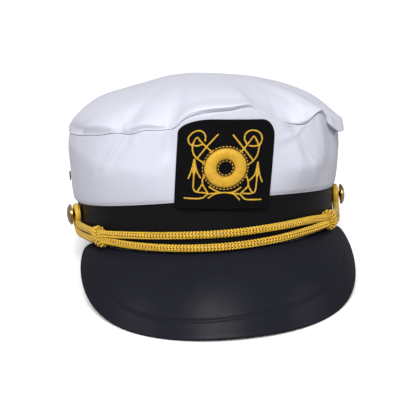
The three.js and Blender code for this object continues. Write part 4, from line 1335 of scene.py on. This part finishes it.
# The embroidery's lines, in millimetres across and up from the badge's middle
LINES = (
    # Left anchor: its ring with the rope that hangs from it, its shackle, shank and stock
    ((-12.7, 14.6), (-12.4, 17), (-13.6, 19.6), (-15.8, 20.9), (-18.5, 20.4), (-21, 18.5), (-22.5, 16.1),
     (-22, 13.1), (-20.1, 11.6)),
    ((-19.6, 12.7), (-19.7, 9.3), (-18.9, 6.3), (-17, 3.8), (-14.6, 2.2), (-11.9, 0.4)),
    ((-19.5, 11.9), (-18.9, 14.4), (-17.3, 17.1), (-15.5, 14.5), (-13.4, 12.4), (-11.7, 10.7), (-8.4, 7.8)),
    ((-18.3, 11.5), (-16.6, 11.3), (-15, 12.2), (-13.4, 12.5)),
    ((-5.6, 18.5), (-11.5, 11.2), (-16.1, 4.4)),
    # Right anchor
    ((11.9, 12.4), (9.9, 15.5), (10.1, 18.5), (11.7, 20.4), (14.4, 21.2), (17.7, 20.5), (20, 18.5),
     (20.8, 15.7), (20.1, 13.1), (19.2, 11.4), (19.1, 9.3), (18.5, 5.8), (17.3, 3.5), (15.3, 1.3),
     (13.1, -0.2)),
    ((8.4, 7.8), (10.3, 10.1), (11.9, 12.4), (13.8, 15), (15.6, 17.8), (17.2, 15.3), (18.9, 11.8)),
    ((13.1, 11.6), (15.8, 11.1), (18.3, 11.6)),
    ((3.3, 18.1), (9.4, 10.7), (15.7, 2.9)),
    # Outer flukes, filled at the throat, and their shafts
    ((-18.2, 3.1), (-18.9, -1.1), (-19.7, -4.6), (-21, -8.6)),
    ((-18.2, 3.1), (-17.3, -1.1), (-16.1, -4.9), (-14.1, -8.2)),
    ((-18.4, -2.2), (-18.8, -4.6), (-17.9, -6)),
    ((-17.6, -2.2), (-17.2, -4.6), (-17.9, -6)),
    ((-18.2, 3.1), (-17.9, -4.1), (-18, -9.8), (-18, -14.6), (-17.1, -16.8), (-15, -17.3),
     (-11.7, -17.5), (-9.2, -17.9)),
    ((19.1, 1.2), (18.7, -2.4), (17.9, -6.4), (16.3, -8.5), (14.7, -10)),
    ((19.1, 1.2), (19.9, -3.3), (21, -7.3), (22.7, -10.9)),
    ((18.9, -3.8), (18.6, -6), (19.2, -8)),
    ((19.4, -3.8), (20, -6), (19.2, -8)),
    ((19.1, 1.2), (19.2, -6.4), (19.2, -11.6), (19.1, -15.1), (18.6, -17.6), (15.8, -18.3), (11.5, -18)),
    # Inner curves and small triangles below the ring
    ((-12, -6.8), (-13, -9.6), (-12.7, -12.2), (-11.5, -14.4), (-9.7, -17.1)),
    ((-13, -12.5), (-14.1, -14.5), (-15.4, -16.7)),
    ((12.4, -6.9), (13.6, -8.9), (14.2, -11.5), (14.2, -13.7), (12.1, -15.8), (10.1, -17.8)),
    ((14.4, -13.3), (15.3, -15.1), (16.8, -17.3)),
    # Arrowheads that meet below the ring, and the ropes' ends
    ((-8.7, -13.8), (-6.6, -15.2), (-3.6, -16.9), (-2, -17.3)),
    ((-8.7, -20.7), (-6.7, -19), (-4.7, -18), (-2, -17.4)),
    ((9.7, -14.2), (7.5, -16), (5.5, -17.1), (3.5, -17.4)),
    ((9.4, -21.7), (7.8, -19.9), (6, -18.3), (3.5, -17.4)),
    ((-22.7, -21.1), (-18.8, -21.3), (-14.8, -21.3), (-11.9, -20.8), (-10.4, -19.2), (-9.2, -18.1),
     (-6.4, -17.9), (-2.7, -17.6), (0.1, -17.3)),
    ((1, -17.3), (3.5, -17.6), (6.4, -17.9), (9.8, -18.4), (11.2, -20.2), (13, -21.8), (16.5, -22.1),
     (22.7, -22.1)),
)


def flat_path(line, spacing, stand, closed=False):
    """Even places along a line of the flat badge, its corners a little rounded, in metres."""
    fine = evenly(line, 0.5, closed)
    for _ in range(3 if not closed else 0):
        fine[1:-1] = (fine[:-2] + 2 * fine[1:-1] + fine[2:]) / 4
    even = evenly(fine, spacing, closed)
    points = np.concatenate([even, np.full((len(even), 1), stand)], 1) / MM
    return points, np.tile([0.0, 0.0, 1.0], (len(even), 1)), closed


def bent_to_badge(mesh):
    """Moves a mesh made flat, in metres, onto the badge."""
    flat = np.empty(len(mesh.vertices) * 3, np.float32)
    mesh.vertices.foreach_get("co", flat)
    points = laid_down(badge_surface(flat.reshape(-1, 3) * MM))
    mesh.vertices.foreach_set("co", points.astype(np.float32).ravel())
    mesh.update()
    return mesh


def single_stitch(rise, sink, across, along, wide):
    """A stitch on a line along Z, with X away from the felt. It reaches across and along on either side."""
    t = np.linspace(-1, 1, 6)
    swell = np.sin(math.pi * np.clip(0.12 + 0.38 * (t + 1), 0, 1)) ** 0.7
    centre = np.stack([rise * (1 - t**2) + sink, across * t, along * t], -1)
    return bead(centre, np.stack([0.24 * swell, wide * swell], -1), 6)


def badge_circle(radius):
    """A circle round the ring's middle, on the flat badge."""
    turn = np.linspace(0, 2 * math.pi, 181)[:-1]
    return np.stack([radius * np.cos(turn), RING_MIDDLE + radius * np.sin(turn)], -1)


def standing(flat, height):
    """Flat places of the badge with their height over its back face."""
    return np.concatenate([flat, np.broadcast_to(height, flat.shape[:1])[:, None]], 1)


def badge_felt():
    """The patch's closed mesh, domed over the crown, its edge rounded and its face with a little nap."""
    outline, centre, rounding = badge_outline(24), np.array([0.5, -0.5]), 0.55
    inward = centre - outline
    inward /= np.linalg.norm(inward, axis=1, keepdims=True)
    shares = (0, 0.1, 0.22, 0.36, 0.5, 0.64, 0.78, 0.9, 0.96)
    rows = [(share, 0.0, BADGE_WALL) for share in shares]
    rows += [(1.0, -rounding * (1 - math.sin(t)), lerp(BADGE_WALL, 0, (1 - math.cos(t)) / 2))
             for t in np.linspace(0, math.pi, 11)]
    rows += [(share, 0.0, 0.0) for share in shares[::-1]]
    points = []
    for share, grow, stand in rows:
        ring = centre + (outline - centre) * share - inward * grow
        nap = 0.05 * roughly(standing(ring, stand), 2.0, 51.0) if stand > 0 and share else 0.0
        points.append(standing(ring, stand + nap))
    return grid_mesh("badge_felt", badge_surface(np.array(points)), False, True)


def badge_ring(thread):
    """The raised ring: threads laid from its hole to its edge over a pad, which takes the thread's deep
    colour as painted shade between them.
    """
    middle, half = (RING_RADIUS + RING_HOLE) / 2, (RING_RADIUS - RING_HOLE) / 2
    t = np.linspace(-1, 1, 12)
    arch = (1 - np.abs(t) ** 2.2) ** 0.6
    widths = 0.27 + 0.13 * t
    centre = np.stack([(RING_HEIGHT + 0.1) * arch + 0.08, half * t, 0.1 * np.sin(math.pi * t)], -1)
    unit = unit_mesh("ring_thread", [bead(centre, np.stack([0.3 + 0 * t, widths * 1.3], -1), 6)])
    # Threads 0.4 mm apart are drawn 0.6 mm apart
    path = flat_path(badge_circle(middle), 0.6, BADGE_WALL, True)
    threads = follow_path("badge_ring_stitched", [path], unit, thread, unevenness=0.012)
    crown = zip(t[1:-1], (RING_HEIGHT - 0.1) * arch[1:-1])
    rows = [standing(badge_circle(middle + half * share), BADGE_WALL + 0.04 + high)
            for share, high in [(-1.02, 0.0), *crown, (1.04, 0.12), (1.04, 0.0)]]
    pad_in_painted_shade = grid_mesh("badge_ring_padding", badge_surface(np.array(rows)), True, True)
    return bent_to_badge(threads), pad_in_painted_shade


class SAILORCAP_OT_badge(bpy.types.Operator):
    """Builds the felt badge with its raised ring and stitched anchors"""

    bl_idname = "sailor_cap.badge"
    bl_label = "Badge"

    def execute(self, context):
        cap = cap_settings()
        finished("badge_felt", badge_felt(), felt(), "badge_felt", "badge_patch")
        # Rayon embroidery thread laid side by side: bright gold, glossy along each thread, with painted shade
        # in the deep colour of the ring's pad between its threads
        thread = gold_yarn("gold_rayon_embroidery", cap.thread_color, cap.thread_tone_and_gap_shade, 1, 0.3)
        ring_thread, ring_pad_in_painted_shade = badge_ring(thread)
        finished("badge_ring_stitched", ring_thread, thread, "gold_thread", "badge_ring")
        # The pad takes the deep colour, painted shade between the ring's threads
        finished("badge_ring_padding", ring_pad_in_painted_shade, thread, "gold_thread")
        # Stitches 0.4 mm apart are drawn 0.8 mm apart
        pitch, half_line, stand = MM * cap.stitch_pitch, MM * cap.line_width / 2, BADGE_WALL + 0.02
        slanted = single_stitch(0.35, 0.05, half_line, 0.6 * half_line, 0.56 * pitch)
        stitch = unit_mesh("line_stitch", [slanted])
        paths = [flat_path(line, pitch, stand) for line in LINES]
        lines = follow_path("badge_anchors", paths, stitch, thread, unevenness=0.07)
        finished("badge_anchors", bent_to_badge(lines), thread, "gold_thread")
        dash = unit_mesh("dash_stitch", [single_stitch(0.38, 0.03, 0.12, 0.78, 0.36)])
        circles = [flat_path(badge_circle(radius), 2.1, stand, True)
                   for radius in (RING_RADIUS + 0.75, RING_HOLE - 0.65)]
        dashes = follow_path("badge_edge_stitches", circles, dash, thread, unevenness=0.05)
        finished("badge_edge_stitches", bent_to_badge(dashes), thread, "gold_thread")
        return {"FINISHED"}


class SAILORCAP_OT_studio(bpy.types.Operator):
    """Sets up the floor, the soft lights and the camera"""

    bl_idname = "sailor_cap.studio"
    bl_label = "Studio"

    def execute(self, context):
        scene = context.scene
        wide = FLOOR_WIDTH / 2
        mesh = bpy.data.meshes.new("floor")
        corners = [(-wide, -wide, 0.0), (wide, -wide, 0.0), (wide, wide, 0.0), (-wide, wide, 0.0)]
        mesh.from_pydata(corners, [], [[0, 1, 2, 3]])
        mesh.materials.append(paper_floor())
        floor = bpy.data.objects.new("floor", mesh)
        scene.collection.objects.link(floor)
        world = bpy.data.worlds.new("soft_white_room")
        world.use_nodes = True
        # The backdrop looks white behind the cap, while the room lights the cap more softly
        tree = world.node_tree
        ground = tree.nodes["Background"]
        ground.inputs["Color"].default_value = (1.0, 1.0, 1.0, 1.0)
        seen = add_node(tree, "ShaderNodeLightPath").outputs["Is Camera Ray"]
        strength = add_node(tree, "ShaderNodeMapRange", {0: seen, 3: 0.34, 4: 1.0}).outputs[0]
        tree.links.new(strength, ground.inputs["Strength"])
        scene.world = world
        scene.view_settings.view_transform = "Standard"
        # Each lamp's place in metres, its width and its power in watts
        for name, place, size, energy in (
            ("key_light", (-0.3, -1.8, 1.8), 1.3, 72.0),
            ("top_light", (0.0, 1.0, 2.4), 1.4, 18.0),
            ("left_fill", (-1.9, -0.6, 1.0), 1.0, 13.0),
            ("right_fill", (1.9, -0.7, 1.0), 1.0, 10.0),
        ):
            light = bpy.data.lights.new(name, "AREA")
            light.shape = "DISK"
            light.size = size
            light.energy = energy
            lamp = bpy.data.objects.new(name, light)
            lamp.location = place
            lamp.rotation_mode = "QUATERNION"
            lamp.rotation_quaternion = (LAMP_AIM - Vector(place)).to_track_quat("-Z", "Y")
            scene.collection.objects.link(lamp)
        add_camera(scene)
        return {"FINISHED"}


def add_camera(scene):
    """The camera at the photograph's angle, 0.9 m from the cap."""
    azimuth, elevation, roll = (math.radians(turn) for turn in CAMERA_TURNS)
    back = Vector((math.sin(azimuth) * math.cos(elevation), -math.cos(azimuth) * math.cos(elevation),
                   math.sin(elevation)))
    level = Vector((math.cos(azimuth), math.sin(azimuth), 0.0))
    upright = back.cross(level)
    right = level * math.cos(roll) + upright * math.sin(roll)
    up = -level * math.sin(roll) + upright * math.cos(roll)
    data = bpy.data.cameras.new("camera")
    data.sensor_width = 36.0
    data.lens = 113.87
    data.clip_start, data.clip_end = 0.01, 50.0
    camera = bpy.data.objects.new("camera", data)
    turned = Matrix((right, up, back)).transposed().to_4x4()
    camera.matrix_world = Matrix.Translation(CAMERA_AIM + CAMERA_DISTANCE * back) @ turned
    scene.collection.objects.link(camera)
    scene.camera = camera


OPERATORS = (
    SAILORCAP_OT_side_panel,
    SAILORCAP_OT_top_panel,
    SAILORCAP_OT_head_band,
    SAILORCAP_OT_peak,
    SAILORCAP_OT_chin_cord,
    SAILORCAP_OT_buttons,
    SAILORCAP_OT_eyelets,
    SAILORCAP_OT_badge,
    SAILORCAP_OT_studio,
)


class SAILORCAP_PT_panel(bpy.types.Panel):
    """Lists the cap's sizes, colours and pieces"""

    bl_label = "Sailor Cap"
    bl_space_type = "VIEW_3D"
    bl_region_type = "UI"
    bl_category = "Sailor Cap"

    def draw(self, context):
        layout = self.layout
        for key in SailorCapSettings.__annotations__:
            layout.prop(context.scene.sailor_cap, key)
        for operator in OPERATORS:
            layout.operator(operator.bl_idname)


CLASSES = (SailorCapSettings, *OPERATORS, SAILORCAP_PT_panel)


def register():
    for made in CLASSES:
        bpy.utils.register_class(made)
    bpy.types.Scene.sailor_cap = bpy.props.PointerProperty(type=SailorCapSettings)


def unregister():
    del bpy.types.Scene.sailor_cap
    for made in reversed(CLASSES):
        bpy.utils.unregister_class(made)


def main():
    register()
    bpy.ops.sailor_cap.side_panel()
    bpy.ops.sailor_cap.top_panel()
    bpy.ops.sailor_cap.head_band()
    bpy.ops.sailor_cap.peak()
    bpy.ops.sailor_cap.chin_cord()
    bpy.ops.sailor_cap.buttons()
    bpy.ops.sailor_cap.eyelets()
    bpy.ops.sailor_cap.badge()
    bpy.ops.sailor_cap.studio()


if __name__ == "__main__":
    main()
